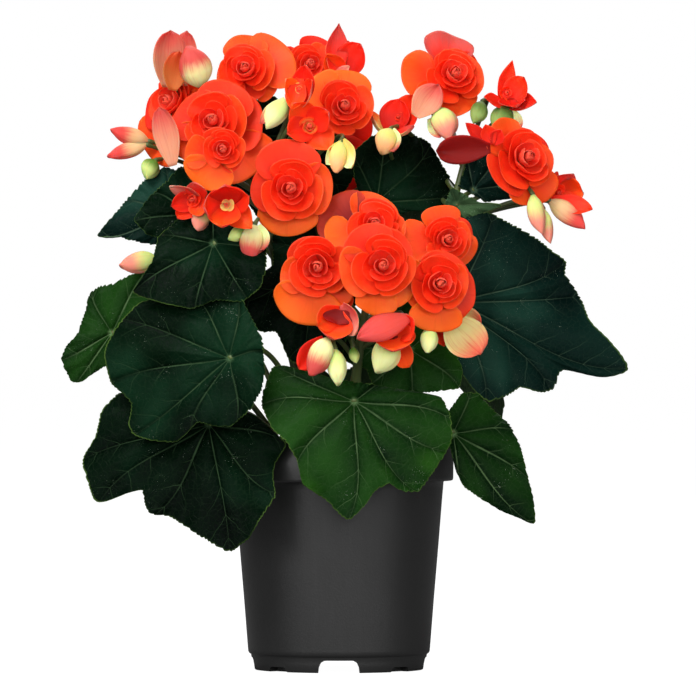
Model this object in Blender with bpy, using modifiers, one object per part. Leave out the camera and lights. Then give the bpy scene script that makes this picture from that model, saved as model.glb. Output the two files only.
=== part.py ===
"""Elatior begonia in a round plastic grower's pot.

Every length below is in millimetres and is turned into metres by MM.
The plant is laid out about the pot's axis: x to the right, y away from the front, z up
from the plane the pot stands on. CENTRE then moves the whole object so that the middle of
its footprint is at x = 0, y = 0.
"""
import math

import bmesh
import bpy
from mathutils import Matrix, Vector

MM = 0.001
WELD = 5e-6
COLLECTION = "potted_begonia"
CUTTERS = "potted_begonia_cutters"
CENTRE = (4.8, -4.0)

# Pot
POT_SEGMENTS = 48
POT_WALL = 1.2
FOOT_RADIUS = 48.8
STEP_Z = 8.2
STEP_RADIUS_LOW = 49.7
STEP_RADIUS_HIGH = 51.4
STEP_TOP_Z = 9.8
WALL_TOP_RADIUS = 59.3
RIM_Z = 106.8
RIM_RADIUS = 65.0
POT_TOP_Z = 131.0
BASE_PLATE = 1.2
BASE_TOP_Z = 8.2
CHANNEL_WIDTH_LOW = 23.0
CHANNEL_WIDTH_HIGH = 19.0
CHANNEL_HEIGHT = 7.0
SMALL_NOTCH_WIDTH = 13.5
SMALL_NOTCH_HEIGHT = 2.8
SMALL_NOTCH_DEPTH = 6.0
DRAIN_RADIUS = 4.5
DRAIN_CIRCLE = 33.0

# Soil
SOIL_GAP = 0.35
SOIL_TOP_Z = 117.0
SOIL_LUMP = 0.7

# Leaves
BLADE_THICKNESS = 1.0
PETIOLE_RADIUS = 1.7
MID_RING = 0.55
RIPPLE = 1.0

# Stems
STEM_STEPS = 4
BRANCH_RADIUS = 1.1
TIP_GAP = 0.8


# Each leaf: where its petiole joins the blade, the way it faces, its slopes, its petiole's
# start and bend, and its outline about the joint as (across, up), seen from where it faces.
# turn: how fast the blade runs back to the right; lean: how fast it runs back upwards;
# bend: how far its edge falls back behind its middle.
LEAVES = {
    "leaf_front_centre": dict(
        hub=(8.5, -73, 152), turn=0.02, lean=0.34, bend=8, start=(8, -27, 118.6),
        via=(8, -48, 172), green="bright",
        outline=[
            (54, -8), (49, 3), (26, 7), (8, 10), (-12, 13), (-31, 18), (-42, 21), (-46, 19),
            (-51, 6), (-52, -2), (-46, -15), (-38, -22), (-32, -32), (-29, -46), (-20, -52),
            (-15, -55), (-7, -64), (-3, -66), (5, -59), (12, -49), (20, -45), (27, -50),
            (36, -50), (43, -41), (51, -29), (55, -21),
        ],
    ),
    "leaf_left_large": dict(
        hub=(-60.5, -80, 176), turn=-0.3, lean=0.2, bend=6, start=(-14, -22, 118.6),
        via=(-34, -38, 196), green="dark",
        outline=[
            (19, 6), (18, 12), (7, 33), (-10, 37), (-29, 38), (-52, 31), (-63, 19), (-70, 7),
            (-71, 1), (-69, -7), (-67, -15), (-62, -18), (-55, -25), (-57, -38), (-54, -43),
            (-44, -46), (-30, -47), (-24, -43), (-19, -35), (-8, -38), (1, -38), (12, -28),
            (18, -18), (20, -8),
        ],
    ),
    "leaf_left_low": dict(
        hub=(-72.4, -60, 139), turn=-0.15, lean=0.3, bend=9, start=(-26, -16, 118.6),
        via=(-52, -36, 158), green="dark",
        outline=[
            (29, 3), (15, 12), (-5, 16), (-28, 19), (-51, 18), (-61, 8), (-64, -7), (-72, -20),
            (-68, -33), (-64, -44), (-58, -44), (-46, -38), (-37, -36), (-36, -44), (-33, -50),
            (-22, -51), (-9, -59), (2, -66), (12, -71), (23, -63), (28, -54), (38, -39),
            (36, -30), (37, -22), (44, -11),
        ],
    ),
    "leaf_far_left": dict(
        hub=(-128, -24, 190), turn=-0.3, lean=0.25, bend=5, start=(-27, -2, 118.6),
        via=(-80, -8, 200), green="bright",
        outline=[
            (34, 4), (40, 18), (34, 32), (21, 36), (10, 33), (0, 28), (-7, 27), (-13, 23),
            (-15, 14), (-20, -1), (-26, -7), (-29, -14), (-27, -20), (-23, -28), (-18, -28),
            (-4, -19), (8, -17), (22, -9),
        ],
    ),
    "leaf_right_low": dict(
        hub=(64, -47, 134), turn=0.35, lean=0.3, bend=6, start=(28, -16, 118.6),
        via=(46, -30, 160), green="bright",
        outline=[
            (32, 5), (23, 13), (14, 23), (5, 23), (-3, 12), (-6, 1), (-1, -10), (1, -21),
            (6, -30), (16, -37), (27, -44), (38, -48), (47, -53), (45, -35), (42, -24),
            (38, -7),
        ],
    ),
    "leaf_right_large": dict(
        hub=(65.6, -24, 207), turn=0.2, lean=0.22, bend=8, start=(29, 2, 118.6),
        via=(42, 6, 196), green="blue",
        outline=[
            (72, 2), (67, 10), (62, 17), (64, 24), (55, 30), (48, 36), (36, 43), (19, 52),
            (0, 50), (-8, 32), (-12, 8), (-7, -15), (0, -35), (10, -49), (18, -56), (30, -52),
            (37, -47), (48, -51), (56, -49), (59, -38), (64, -37), (81, -43), (92, -41),
            (101, -38), (93, -27), (86, -19), (77, -11),
        ],
    ),
    "leaf_left_mid": dict(
        hub=(-70, -62, 240), turn=-0.1, lean=0.45, bend=4, start=(-37.5, -22, 206),
        via=(-52, -42, 236), green="dark",
        outline=[
            (30, 4), (20, 14), (0, 18), (-20, 14), (-31, 4), (-34, -10), (-40, -20),
            (-46, -28), (-37, -31), (-27, -34), (-12, -37), (2, -32), (17, -33), (27, -25),
            (30, -14),
        ],
    ),
    "leaf_upper_left": dict(
        hub=(-95.5, -10, 257), turn=-0.1, lean=0.3, bend=4, start=(-46, -5, 226),
        via=(-68, -2, 250), green="blue",
        outline=[
            (15, 12), (8, 24), (-3, 28), (-14, 21), (-24, 10), (-34, -2), (-43, -13),
            (-31, -12), (-17, -16), (-4, -18), (5, -14), (15, -4),
        ],
    ),
    "leaf_upper_left_inner": dict(
        hub=(-84, -27, 257), turn=0.1, lean=0.2, bend=4, start=(-46, -14, 218),
        via=(-66, -18, 244), green="dark",
        outline=[
            (20, 0), (16, 20), (6, 30), (-6, 27), (-14, 18), (-23, 10), (-32, -3), (-24, -12),
            (-12, -15), (0, -17), (14, -14),
        ],
    ),
    "leaf_top_centre": dict(
        hub=(21.5, -2, 264), turn=0.1, lean=0.25, bend=5, start=(3, 32, 214),
        via=(13, 18, 250), green="dark",
        outline=[
            (49, 4), (44, 11), (38, 21), (30, 35), (10, 45), (-4, 38), (-14, 29), (-13, 14),
            (-10, 3), (-3, -6), (13, -7), (22, -4), (36, -5),
        ],
    ),
    "leaf_small_grey": dict(
        hub=(66, -42, 262), turn=0.2, lean=-0.3, bend=2, start=(62.5, -9.5, 257),
        via=(63, -22, 262), green="grey",
        outline=[(14, 1), (-3, 10), (-7, 1), (-1, -8), (8, -7), (28, 0)],
    ),
    "leaf_small_dark": dict(
        hub=(76, 2, 271), turn=0.2, lean=0.2, bend=3, start=(64, -1.6, 262),
        via=(69, 0, 267), green="blue",
        outline=[(26, 6), (15, 23), (-3, 18), (-9, 2), (7, -7), (22, -5)],
    ),
    "leaf_centre_high": dict(
        hub=(-8, -34, 236), turn=0.0, lean=0.25, bend=4, start=(9, -44, 176),
        via=(4, -40, 214), green="dark",
        outline=[
            (34, 2), (31, 16), (20, 26), (6, 18), (-12, 26), (-22, 20), (-30, 8), (-29, -8),
            (-44, -20), (-43, -34), (-26, -46), (-20, -62), (-6, -67), (8, -66), (12, -52),
            (14, -34), (28, -22),
        ],
    ),
    "leaf_centre_low": dict(
        hub=(40, -36, 181), turn=0.15, lean=0.3, bend=3, start=(21, -22, 118.6),
        via=(28, -20, 174), green="bright",
        outline=[
            (20, -10), (14, 12), (6, 29), (-12, 31), (-26, 14), (-38, 7), (-42, -1), (-35, -8),
            (-25, -11), (-22, -19), (-14, -24), (1, -25), (15, -24), (28, -22),
        ],
    ),
}

# The outline shared by the leaves round the back, at unit size, tip downwards.
BACK_OUTLINE = [
    (0.42, 0.05), (0.44, 0.22), (0.28, 0.36), (0.08, 0.22), (-0.2, 0.36), (-0.46, 0.3),
    (-0.62, 0.08), (-0.56, -0.16), (-0.66, -0.4), (-0.44, -0.58), (-0.3, -0.8), (-0.06, -1.0),
    (0.08, -0.84), (0.24, -0.76), (0.4, -0.5), (0.52, -0.3),
]
BACK_LEAVES = {
    "leaf_back_low": dict(
        hub=(2, 84, 150), faces=180, size=70, turn=0.0, lean=0.35, bend=8,
        start=(2, 29, 118.6), via=(2, 52, 172), green="dark",
    ),
    "leaf_back_left": dict(
        hub=(-82, 34, 190), faces=252, size=68, turn=0.1, lean=0.3, bend=8,
        start=(-24, 20, 118.6), via=(-50, 30, 208), green="bright",
    ),
    "leaf_back_right": dict(
        hub=(76, 36, 194), faces=106, size=66, turn=0.1, lean=0.3, bend=8,
        start=(26, 20, 118.6), via=(52, 30, 208), green="dark",
    ),
    "leaf_back_upper": dict(
        hub=(-24, 30, 302), faces=8, size=66, turn=0.0, lean=0.2, bend=6,
        start=(-8, 36, 214), via=(-18, 48, 270), green="dark",
    ),
    "leaf_back_top": dict(
        hub=(36, 60, 244), faces=160, size=56, turn=0.0, lean=0.4, bend=6,
        start=(7, 38, 222), via=(16, 46, 258), green="blue",
    ),
}

# Each flower: middle, the way it faces (degrees to the right of the front, degrees up),
# width, height of its front and of its back over half the width, lobes, their depth, roll,
# the stem that carries it and its colour.
FLOWERS = {
    "bloom_left_front": ((-27, -62, 271), (0, 4), 48, 0.35, 0.45, 6, 0.10, 10, "left", "open"),
    "bloom_left_large": ((-70, -36, 308), (-12, 16), 52, 0.35, 0.45, 6, 0.10, 40, "left", "open"),
    "bloom_left_top": ((-50, -10, 340), (-5, 30), 43, 0.40, 0.45, 5, 0.12, 20, "left", "open"),
    "bloom_left_crown": ((1, -26, 320), (6, 18), 40, 0.35, 0.45, 5, 0.12, 35, "left", "open"),
    "bloom_left_small": ((-71, -68, 287), (-10, -6), 34, 0.40, 0.45, 5, 0.10, 0, "left", "open"),
    "bloom_left_side": ((-102, -6, 311), (-70, 10), 38, 0.40, 0.50, 6, 0.10, 15, "left", "open"),
    "bloom_top_rear": ((-19, 6, 340), (0, 28), 31, 0.40, 0.45, 5, 0.10, 50, "left", "open"),
    "bloom_middle_left": ((-17, -86, 222), (-6, -4), 45, 0.35, 0.42, 6, 0.10, 25, "middle", "open"),
    "bloom_middle": ((23, -101, 228), (4, 4), 46, 0.35, 0.42, 6, 0.10, 5, "middle", "open"),
    "bloom_middle_right": ((59, -84, 214), (24, 0), 42, 0.38, 0.42, 6, 0.10, 30, "middle", "open"),
    "bloom_middle_upper": ((13, -62, 252), (0, 22), 42, 0.35, 0.42, 5, 0.12, 12, "middle", "open"),
    "bloom_right_inner": ((60.5, -60, 243), (18, 10), 32, 0.40, 0.45, 5, 0.10, 42, "middle", "open"),
    "bloom_right_top": ((60, -12, 338), (20, 30), 44, 0.40, 0.45, 5, 0.12, 22, "right", "open"),
    "bloom_right_side": ((105, -30, 290), (38, 24), 42, 0.35, 0.45, 5, 0.12, 8, "right", "open"),
    "bloom_right_under": ((71, -36, 295), (15, 60), 34, 0.45, 0.50, 5, 0.10, 30, "right", "deep"),
    "bloom_back_left": ((-52, 62, 300), (200, 18), 44, 0.35, 0.45, 6, 0.10, 16, "back", "open"),
    "bloom_back_centre": ((-4, 74, 310), (180, 14), 46, 0.35, 0.45, 5, 0.10, 28, "back", "open"),
    "bloom_back_right": ((36, 62, 286), (168, 20), 42, 0.35, 0.45, 5, 0.10, 5, "back", "open"),
    "bloom_back_low": ((20, 92, 268), (176, 0), 40, 0.38, 0.45, 6, 0.10, 45, "back", "open"),
    "cup_left_mid": ((-16, -50, 306), (4, 4), 26, 0.75, 0.70, 4, 0.12, 45, "left", "orange"),
    "cup_left_low": ((-62, -76, 261), (10, -10), 27, 0.75, 0.70, 4, 0.10, 30, "left", "cream"),
    "cup_far_left": ((-83, -60, 264), (-20, -5), 20, 0.85, 0.80, 4, 0.10, 10, "left", "orange"),
    "cup_top": ((2, 0, 349), (10, 70), 23, 1.55, 0.80, 4, 0.14, 20, "left", "orange"),
    "cup_crown": ((-24, -46, 327), (-10, 20), 20, 0.85, 0.80, 4, 0.10, 30, "left", "cream"),
    "cup_right_cream": ((34, -12, 314), (10, 30), 27, 0.80, 0.75, 4, 0.12, 15, "right", "cream"),
    "cup_low_red": ((-1, -98, 195), (0, -20), 23, 0.80, 0.75, 4, 0.08, 40, "middle", "deep"),
    "cup_low_centre": ((25, -90, 190), (5, -25), 29, 0.70, 0.70, 3, 0.14, 30, "middle", "orange"),
    "cup_low_right": ((71, -66, 185), (20, -20), 25, 0.80, 0.75, 4, 0.10, 20, "middle", "pink"),
    "cup_right_points": ((96, -10, 327), (30, 30), 28, 1.00, 0.80, 3, 0.22, 10, "right", "orange"),
    "cup_right_low": ((127, -4, 270), (50, 10), 24, 0.90, 0.80, 4, 0.12, 35, "right", "pink"),
    "buds_upper_left": ((-89, -8, 344), (-20, 45), 21, 1.00, 1.00, 2, 0.20, 0, "left", "pink"),
    "buds_far_left": ((-122, -10, 298), (-60, 20), 18, 1.20, 1.10, 2, 0.16, 90, "left", "pink"),
    "bud_crown": ((2, -48, 289), (0, 10), 13, 1.10, 1.20, 2, 0.14, 60, "left", "cream"),
    "buds_low_left": ((-13, -92, 177), (-10, -50), 13, 1.20, 1.20, 2, 0.16, 10, "middle", "cream"),
    "bud_low_right": ((30, -74, 175), (10, -50), 12, 1.20, 1.20, 2, 0.14, 30, "middle", "cream"),
}

# The rows of a flower's sphere from the front pole to the back one: distance from the axis
# over half the width, height over the front or back height, and turn of the lobes (radians).
ROWS = 7
WHORLS = [
    (0.0, 1.0, 0.0), (0.3, 0.8, 0.0), (0.6, 0.95, math.pi), (0.84, 0.45, 0.0),
    (1.0, -0.05, math.pi), (0.74, -0.4, math.pi), (0.3, -0.8, 0.0), (0.0, -1.0, 0.0),
]
CUP = [
    (0.0, 0.55, 0.0), (0.4, 0.95, 0.0), (0.74, 0.75, math.pi), (0.98, 0.2, 0.0),
    (0.96, -0.2, 0.0), (0.7, -0.6, 0.0), (0.3, -0.9, 0.0), (0.0, -1.0, 0.0),
]

# Each main stem: its line from the soil up, its radius at the foot and at the top.
STEMS = {
    "left": dict(line=[(-12, -4, 118.8), (-28, -10, 180), (-40, -14, 240), (-42, -10, 292)]),
    "middle": dict(line=[(6, -14, 118.8), (8, -46, 160), (13, -64, 200), (20, -54, 226)]),
    "right": dict(line=[(14, 8, 118.8), (40, 0, 190), (60, -6, 240), (72, -6, 292)]),
    "back": dict(line=[(-2, 16, 118.8), (-2, 34, 190), (0, 40, 240), (0, 44, 282)]),
}
STEM_RADIUS_LOW = 3.4
STEM_RADIUS_HIGH = 1.8

COLOURS = {
    "pot": ((0.032, 0.033, 0.036), 0.55),
    "soil": ((0.045, 0.028, 0.018), 0.95),
    "stem": ((0.23, 0.26, 0.06), 0.5),
    "bright": ((0.05, 0.15, 0.03), 0.42),
    "dark": ((0.015, 0.055, 0.025), 0.4),
    "blue": ((0.02, 0.06, 0.04), 0.4),
    "grey": ((0.16, 0.2, 0.12), 0.6),
    "open": ((0.86, 0.075, 0.02), 0.5),
    "orange": ((0.9, 0.16, 0.02), 0.5),
    "deep": ((0.3, 0.012, 0.012), 0.5),
    "pink": ((0.72, 0.2, 0.14), 0.5),
    "cream": ((0.78, 0.62, 0.3), 0.5),
}


def material(kind):
    """The Principled material of one kind of surface."""
    colour, roughness = COLOURS[kind]
    mat = bpy.data.materials.new("begonia_" + kind)
    mat.use_nodes = True
    shader = mat.node_tree.nodes["Principled BSDF"]
    shader.inputs["Base Color"].default_value = (*colour, 1.0)
    shader.inputs["Roughness"].default_value = roughness
    shader.inputs["Metallic"].default_value = 0.0
    mat.diffuse_color = (*colour, 1.0)
    return mat


def collection(name):
    group = bpy.data.collections.get(name) or bpy.data.collections.new(name)
    if group.name not in bpy.context.scene.collection.children:
        bpy.context.scene.collection.children.link(group)
    return group


def new_object(name, mesh, group):
    obj = bpy.data.objects.new(name, mesh)
    group.objects.link(obj)
    return obj


def mesh_object(name, bm, group):
    """A mesh object made from bm, with its faces turned outwards."""
    bmesh.ops.recalc_face_normals(bm, faces=bm.faces)
    if bm.calc_volume(signed=True) < 0:
        bmesh.ops.reverse_faces(bm, faces=bm.faces)
    mesh = bpy.data.meshes.new(name)
    bm.to_mesh(mesh)
    bm.free()
    return new_object(name, mesh, group)


def baked(obj):
    """Put the object's modifiers into its mesh."""
    graph = bpy.context.evaluated_depsgraph_get()
    mesh = bpy.data.meshes.new_from_object(obj.evaluated_get(graph), depsgraph=graph)
    obj.modifiers.clear()
    obj.data = mesh
    return obj


def boolean(obj, other, operation):
    """Cut or join other into obj, and drop other."""
    mod = obj.modifiers.new(operation, "BOOLEAN")
    mod.operation = operation
    mod.solver = "EXACT"
    mod.object = other
    baked(obj)
    bpy.data.objects.remove(other)


def merge_flat(obj):
    """Weld the mesh and join its coplanar faces."""
    bm = bmesh.new()
    bm.from_mesh(obj.data)
    bmesh.ops.remove_doubles(bm, verts=bm.verts, dist=WELD)
    bmesh.ops.dissolve_degenerate(bm, edges=bm.edges, dist=WELD)
    bmesh.ops.dissolve_limit(
        bm, angle_limit=math.radians(0.3), verts=bm.verts, edges=bm.edges
    )
    bm.to_mesh(obj.data)
    bm.free()


def smooth(obj, angle=45):
    for face in obj.data.polygons:
        face.use_smooth = True
    obj.data.set_sharp_from_angle(angle=math.radians(angle))


def facing(azimuth, elevation=0.0, roll=0.0):
    """Columns: right, up and out, for something that faces this way."""
    turn = Matrix.Rotation(math.radians(azimuth), 3, "Z")
    tip = Matrix.Rotation(math.radians(-elevation), 3, "X")
    stand = Matrix(((1, 0, 0), (0, 0, -1), (0, 1, 0)))
    return turn @ tip @ stand @ Matrix.Rotation(math.radians(roll), 3, "Z")


def bezier(points, steps):
    """Points along the Bezier curve with these control points."""
    out = []
    for i in range(steps + 1):
        t = i / steps
        level = [Vector(p) for p in points]
        while len(level) > 1:
            level = [a.lerp(b, t) for a, b in zip(level, level[1:])]
        out.append(level[0])
    return out


def tube(points, radius_start, radius_end, group):
    """A closed tube through the points, as a mesh object."""
    curve = bpy.data.curves.new("tube", "CURVE")
    curve.dimensions = "3D"
    curve.bevel_depth = 1.0
    curve.bevel_resolution = 1
    curve.use_fill_caps = True
    spline = curve.splines.new("POLY")
    spline.points.add(len(points) - 1)
    for i, (point, place) in enumerate(zip(spline.points, points)):
        t = i / (len(points) - 1)
        point.co = (*(Vector(place) * MM), 1.0)
        point.radius = MM * (radius_start + (radius_end - radius_start) * t)
    holder = new_object("tube", curve, group)
    graph = bpy.context.evaluated_depsgraph_get()
    mesh = bpy.data.meshes.new_from_object(holder.evaluated_get(graph), depsgraph=graph)
    bpy.data.objects.remove(holder)
    bm = bmesh.new()
    bm.from_mesh(mesh)
    bmesh.ops.remove_doubles(bm, verts=bm.verts, dist=1e-6)
    return mesh_object("tube", bm, group)


def turned(name, profile, segments, group):
    """A solid of revolution about Z. The profile is (radius, height) in mm."""
    mesh = bpy.data.meshes.new(name)
    verts = [(r * MM, 0.0, z * MM) for r, z in profile]
    mesh.from_pydata(verts, [(i, i + 1) for i in range(len(verts) - 1)], [])
    obj = new_object(name, mesh, group)
    screw = obj.modifiers.new("turn", "SCREW")
    screw.axis = "Z"
    screw.steps = segments
    screw.render_steps = segments
    screw.use_merge_vertices = True
    screw.merge_threshold = 0.00005
    return baked(obj)


def box(name, low, high, group, top_narrower=0.0):
    """A box in mm; its upper face is narrower across Y by top_narrower."""
    bm = bmesh.new()
    bmesh.ops.create_cube(bm, size=1.0)
    for vert in bm.verts:
        share = [c + 0.5 for c in vert.co]
        place = [a + (b - a) * s for a, b, s in zip(low, high, share)]
        if share[2] > 0.5:
            place[1] -= math.copysign(top_narrower / 2, place[1])
        vert.co = Vector(place) * MM
    return mesh_object(name, bm, group)


def turn_mesh(obj, degrees):
    obj.data.transform(Matrix.Rotation(math.radians(degrees), 4, "Z"))


def cylinder(name, radius, low, high, segments, group, at=(0.0, 0.0)):
    bm = bmesh.new()
    bmesh.ops.create_cone(
        bm, cap_ends=True, segments=segments, radius1=radius * MM, radius2=radius * MM,
        depth=(high - low) * MM,
    )
    middle = Vector((at[0], at[1], (low + high) / 2)) * MM
    bmesh.ops.translate(bm, vec=middle, verts=bm.verts)
    return mesh_object(name, bm, group)


def channel(name, group, extra, top):
    """The two crossed drainage channels, each wall moved out by extra."""
    reach = FOOT_RADIUS + 10
    half = CHANNEL_WIDTH_LOW / 2 + extra
    narrower = CHANNEL_WIDTH_LOW - CHANNEL_WIDTH_HIGH
    first = box(name, (-reach, -half, -2.0), (reach, half, top), group, narrower)
    second = box(name + "_2", (-reach, -half, -2.0), (reach, half, top), group, narrower)
    turn_mesh(second, 90)
    boolean(first, second, "UNION")
    return first


def build_pot(group, cutters):
    inner = POT_WALL
    profile = [
        (0.0, BASE_TOP_Z),
        (STEP_RADIUS_LOW - inner, BASE_TOP_Z),
        (STEP_RADIUS_HIGH - inner, STEP_TOP_Z),
        (WALL_TOP_RADIUS - inner, RIM_Z + inner),
        (RIM_RADIUS - inner - 0.3, RIM_Z + inner),
        (RIM_RADIUS - inner, POT_TOP_Z - 0.5),
        (RIM_RADIUS - inner + 0.35, POT_TOP_Z),
        (RIM_RADIUS - 0.35, POT_TOP_Z),
        (RIM_RADIUS, POT_TOP_Z - 0.6),
        (RIM_RADIUS - 0.3, RIM_Z + 0.6),
        (RIM_RADIUS - 0.9, RIM_Z),
        (WALL_TOP_RADIUS, RIM_Z),
        (STEP_RADIUS_HIGH, STEP_TOP_Z),
        (STEP_RADIUS_LOW, STEP_Z),
        (FOOT_RADIUS, 0.0),
        (0.0, 0.0),
    ]
    pot = turned("nursery_pot", profile, POT_SEGMENTS, group)
    merge_flat(pot)
    recess = cylinder(
        "recess", FOOT_RADIUS - 1.6, BASE_PLATE, BASE_TOP_Z + 2.0, POT_SEGMENTS, cutters
    )
    boolean(recess, channel("walls", cutters, 1.4, BASE_TOP_Z + 3.0), "DIFFERENCE")
    boolean(pot, recess, "DIFFERENCE")
    boolean(pot, channel("channels", cutters, 0.0, CHANNEL_HEIGHT), "DIFFERENCE")
    for quarter in range(4):
        half = SMALL_NOTCH_WIDTH / 2
        notch = box(
            "notch", (FOOT_RADIUS - SMALL_NOTCH_DEPTH, -half, -2.0),
            (FOOT_RADIUS + 10, half, SMALL_NOTCH_HEIGHT), cutters, 2.0,
        )
        turn_mesh(notch, 45 + 90 * quarter)
        boolean(pot, notch, "DIFFERENCE")
        angle = math.radians(90 * quarter)
        at = (DRAIN_CIRCLE * math.cos(angle), DRAIN_CIRCLE * math.sin(angle))
        drain = cylinder("drain", DRAIN_RADIUS, 4.0, 12.0, 12, cutters, at)
        boolean(pot, drain, "DIFFERENCE")
        merge_flat(pot)
    merge_flat(pot)
    smooth(pot, 30)
    return pot


def build_soil(group):
    gap = POT_WALL + SOIL_GAP
    profile = [
        (0.0, SOIL_TOP_Z),
        (18.0, SOIL_TOP_Z),
        (36.0, SOIL_TOP_Z - 0.5),
        (52.0, SOIL_TOP_Z - 1.0),
        (RIM_RADIUS - gap - 0.4, SOIL_TOP_Z - 2.0),
        (RIM_RADIUS - gap - 0.4, RIM_Z + gap),
        (WALL_TOP_RADIUS - gap, RIM_Z + gap - 0.2),
        (STEP_RADIUS_HIGH - gap, STEP_TOP_Z + 0.2),
        (STEP_RADIUS_LOW - gap - 0.3, BASE_TOP_Z + SOIL_GAP),
        (0.0, BASE_TOP_Z + SOIL_GAP),
    ]
    soil = turned("potting_soil", profile, 32, group)
    for vert in soil.data.vertices:
        x, y, z = vert.co / MM
        if z > SOIL_TOP_Z - 1.5:
            lump = math.sin(0.31 * x + 1.7) * math.cos(0.27 * y - 0.4)
            vert.co.z += SOIL_LUMP * lump * MM
    smooth(soil, 40)
    return soil


def blade_point(leaf, across, up, share):
    """A point of the blade in mm, about the leaf's joint."""
    reach = max(math.hypot(*p) for p in leaf["outline"])
    out = -leaf["turn"] * across - leaf["lean"] * up
    out -= leaf["bend"] * (math.hypot(across, up) / reach) ** 2 * share
    return Vector((across, up, out))


def build_leaf(name, leaf, group):
    outline = leaf["outline"]
    count = len(outline)
    frame = facing(leaf.get("faces", 0))
    hub = Vector(leaf["hub"])
    bm = bmesh.new()
    spokes = [bm.verts.new((share, 0, 0)) for share in (0.0, MID_RING, 1.0)]
    edges = [bm.edges.new(pair) for pair in zip(spokes, spokes[1:])]
    bmesh.ops.spin(
        bm, geom=spokes + edges, cent=(0, 0, 0), axis=(0, 0, 1), angle=2 * math.pi,
        steps=count, use_merge=True,
    )
    bmesh.ops.remove_doubles(bm, verts=bm.verts, dist=1e-5)
    for vert in bm.verts:
        share = vert.co.length
        step = round(math.atan2(vert.co.y, vert.co.x) / (2 * math.pi / count)) % count
        across, up = (c * share for c in outline[step])
        place = blade_point(leaf, across, up, 1.0)
        if share > 0.9:
            place.z += RIPPLE * (1 if step % 2 else -1)
        vert.co = (hub + frame @ place) * MM
    bmesh.ops.recalc_face_normals(bm, faces=bm.faces)
    out = frame @ Vector((0, 0, 1))
    if sum(face.normal.dot(out) for face in bm.faces) < 0:
        bmesh.ops.reverse_faces(bm, faces=bm.faces)
    mesh = bpy.data.meshes.new(name)
    bm.to_mesh(mesh)
    bm.free()
    blade = new_object(name, mesh, group)
    solid = blade.modifiers.new("thickness", "SOLIDIFY")
    solid.thickness = BLADE_THICKNESS * MM
    solid.offset = -1.0
    baked(blade)
    inside = hub - out * (BLADE_THICKNESS * 0.6)
    via = Vector(leaf["via"])
    line = bezier([leaf["start"], via, via.lerp(inside, 0.6), inside], 6)
    petiole = tube(line, PETIOLE_RADIUS, PETIOLE_RADIUS * 0.7, group)
    boolean(blade, petiole, "UNION")
    smooth(blade, 50)
    return blade


def flower_frame(spec):
    middle, (azimuth, elevation), width, front, back, lobes, depth, roll = spec[:8]
    return Vector(middle), facing(azimuth, elevation, roll), width / 2, front, back, lobes, depth


def build_flower(name, spec, group):
    """One rosette, cup or bud: a sphere drawn out into lobes, a domed front and a cone."""
    middle, frame, radius, front, back, lobes, depth = flower_frame(spec)
    segments = lobes * (3 if lobes > 4 else 4)
    segments = max(segments, 8)
    bm = bmesh.new()
    bmesh.ops.create_uvsphere(bm, u_segments=segments, v_segments=ROWS, radius=1.0)
    for vert in bm.verts:
        row = round(math.degrees(math.acos(max(-1.0, min(1.0, vert.co.z)))) / (180 / ROWS))
        angle = math.atan2(vert.co.y, vert.co.x)
        share, rise, turn = WHORLS[row] if front < 0.5 else CUP[row]
        wave = math.cos(lobes * angle + turn)
        reach = share * (1 + depth * wave * share)
        height = rise * (front if rise > 0 else back) + 0.11 * wave * share ** 2
        out = Vector((reach * math.cos(angle), reach * math.sin(angle), height))
        vert.co = (middle + frame @ (out * radius)) * MM
    obj = mesh_object(name, bm, group)
    smooth(obj, 40)
    return obj


def build_stem(name, group):
    line = STEMS[name]["line"]
    stem = tube(
        bezier(line, 2 * STEM_STEPS), STEM_RADIUS_LOW, STEM_RADIUS_HIGH, group
    )
    stem.name = "stem_" + name
    axis = bezier(line, 40)
    for spec in FLOWERS.values():
        if spec[8] != name:
            continue
        middle, frame, radius, _, back, _, _ = flower_frame(spec)
        outward = frame @ Vector((0, 0, 1))
        tip = middle - outward * (back * radius + TIP_GAP)
        run = min((tip - p).length for p in axis)
        node = min(axis, key=lambda p: abs((tip - p).length - 1.15 * run) + 0.3 * p.z / 10)
        bend = tip - outward * min(12.0, run * 0.5)
        branch = tube(
            bezier([node, bend, tip], STEM_STEPS), BRANCH_RADIUS * 1.3, BRANCH_RADIUS, group
        )
        boolean(stem, branch, "UNION")
    smooth(stem, 60)
    return stem


def main():
    for obj in list(bpy.data.objects):
        bpy.data.objects.remove(obj)
    group = collection(COLLECTION)
    cutters = collection(CUTTERS)
    mats = {kind: material(kind) for kind in COLOURS}
    built = [
        (build_pot(group, cutters), "pot"),
        (build_soil(group), "soil"),
    ]
    for name in STEMS:
        built.append((build_stem(name, group), "stem"))
    for name, leaf in LEAVES.items():
        built.append((build_leaf(name, leaf, group), leaf["green"]))
    for name, leaf in BACK_LEAVES.items():
        size = leaf["size"]
        leaf["outline"] = [(u * size, v * size) for u, v in BACK_OUTLINE]
        built.append((build_leaf(name, leaf, group), leaf["green"]))
    for name, spec in FLOWERS.items():
        built.append((build_flower(name, spec, group), spec[9]))
    shift = Matrix.Translation(Vector((-CENTRE[0], -CENTRE[1], 0.0)) * MM)
    for obj, kind in built:
        obj.data.transform(shift)
        obj.data.materials.clear()
        obj.data.materials.append(mats[kind])
        obj.data.name = obj.name


main()
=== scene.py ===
"""Looks for the potted begonia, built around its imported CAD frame."""

import math

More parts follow.
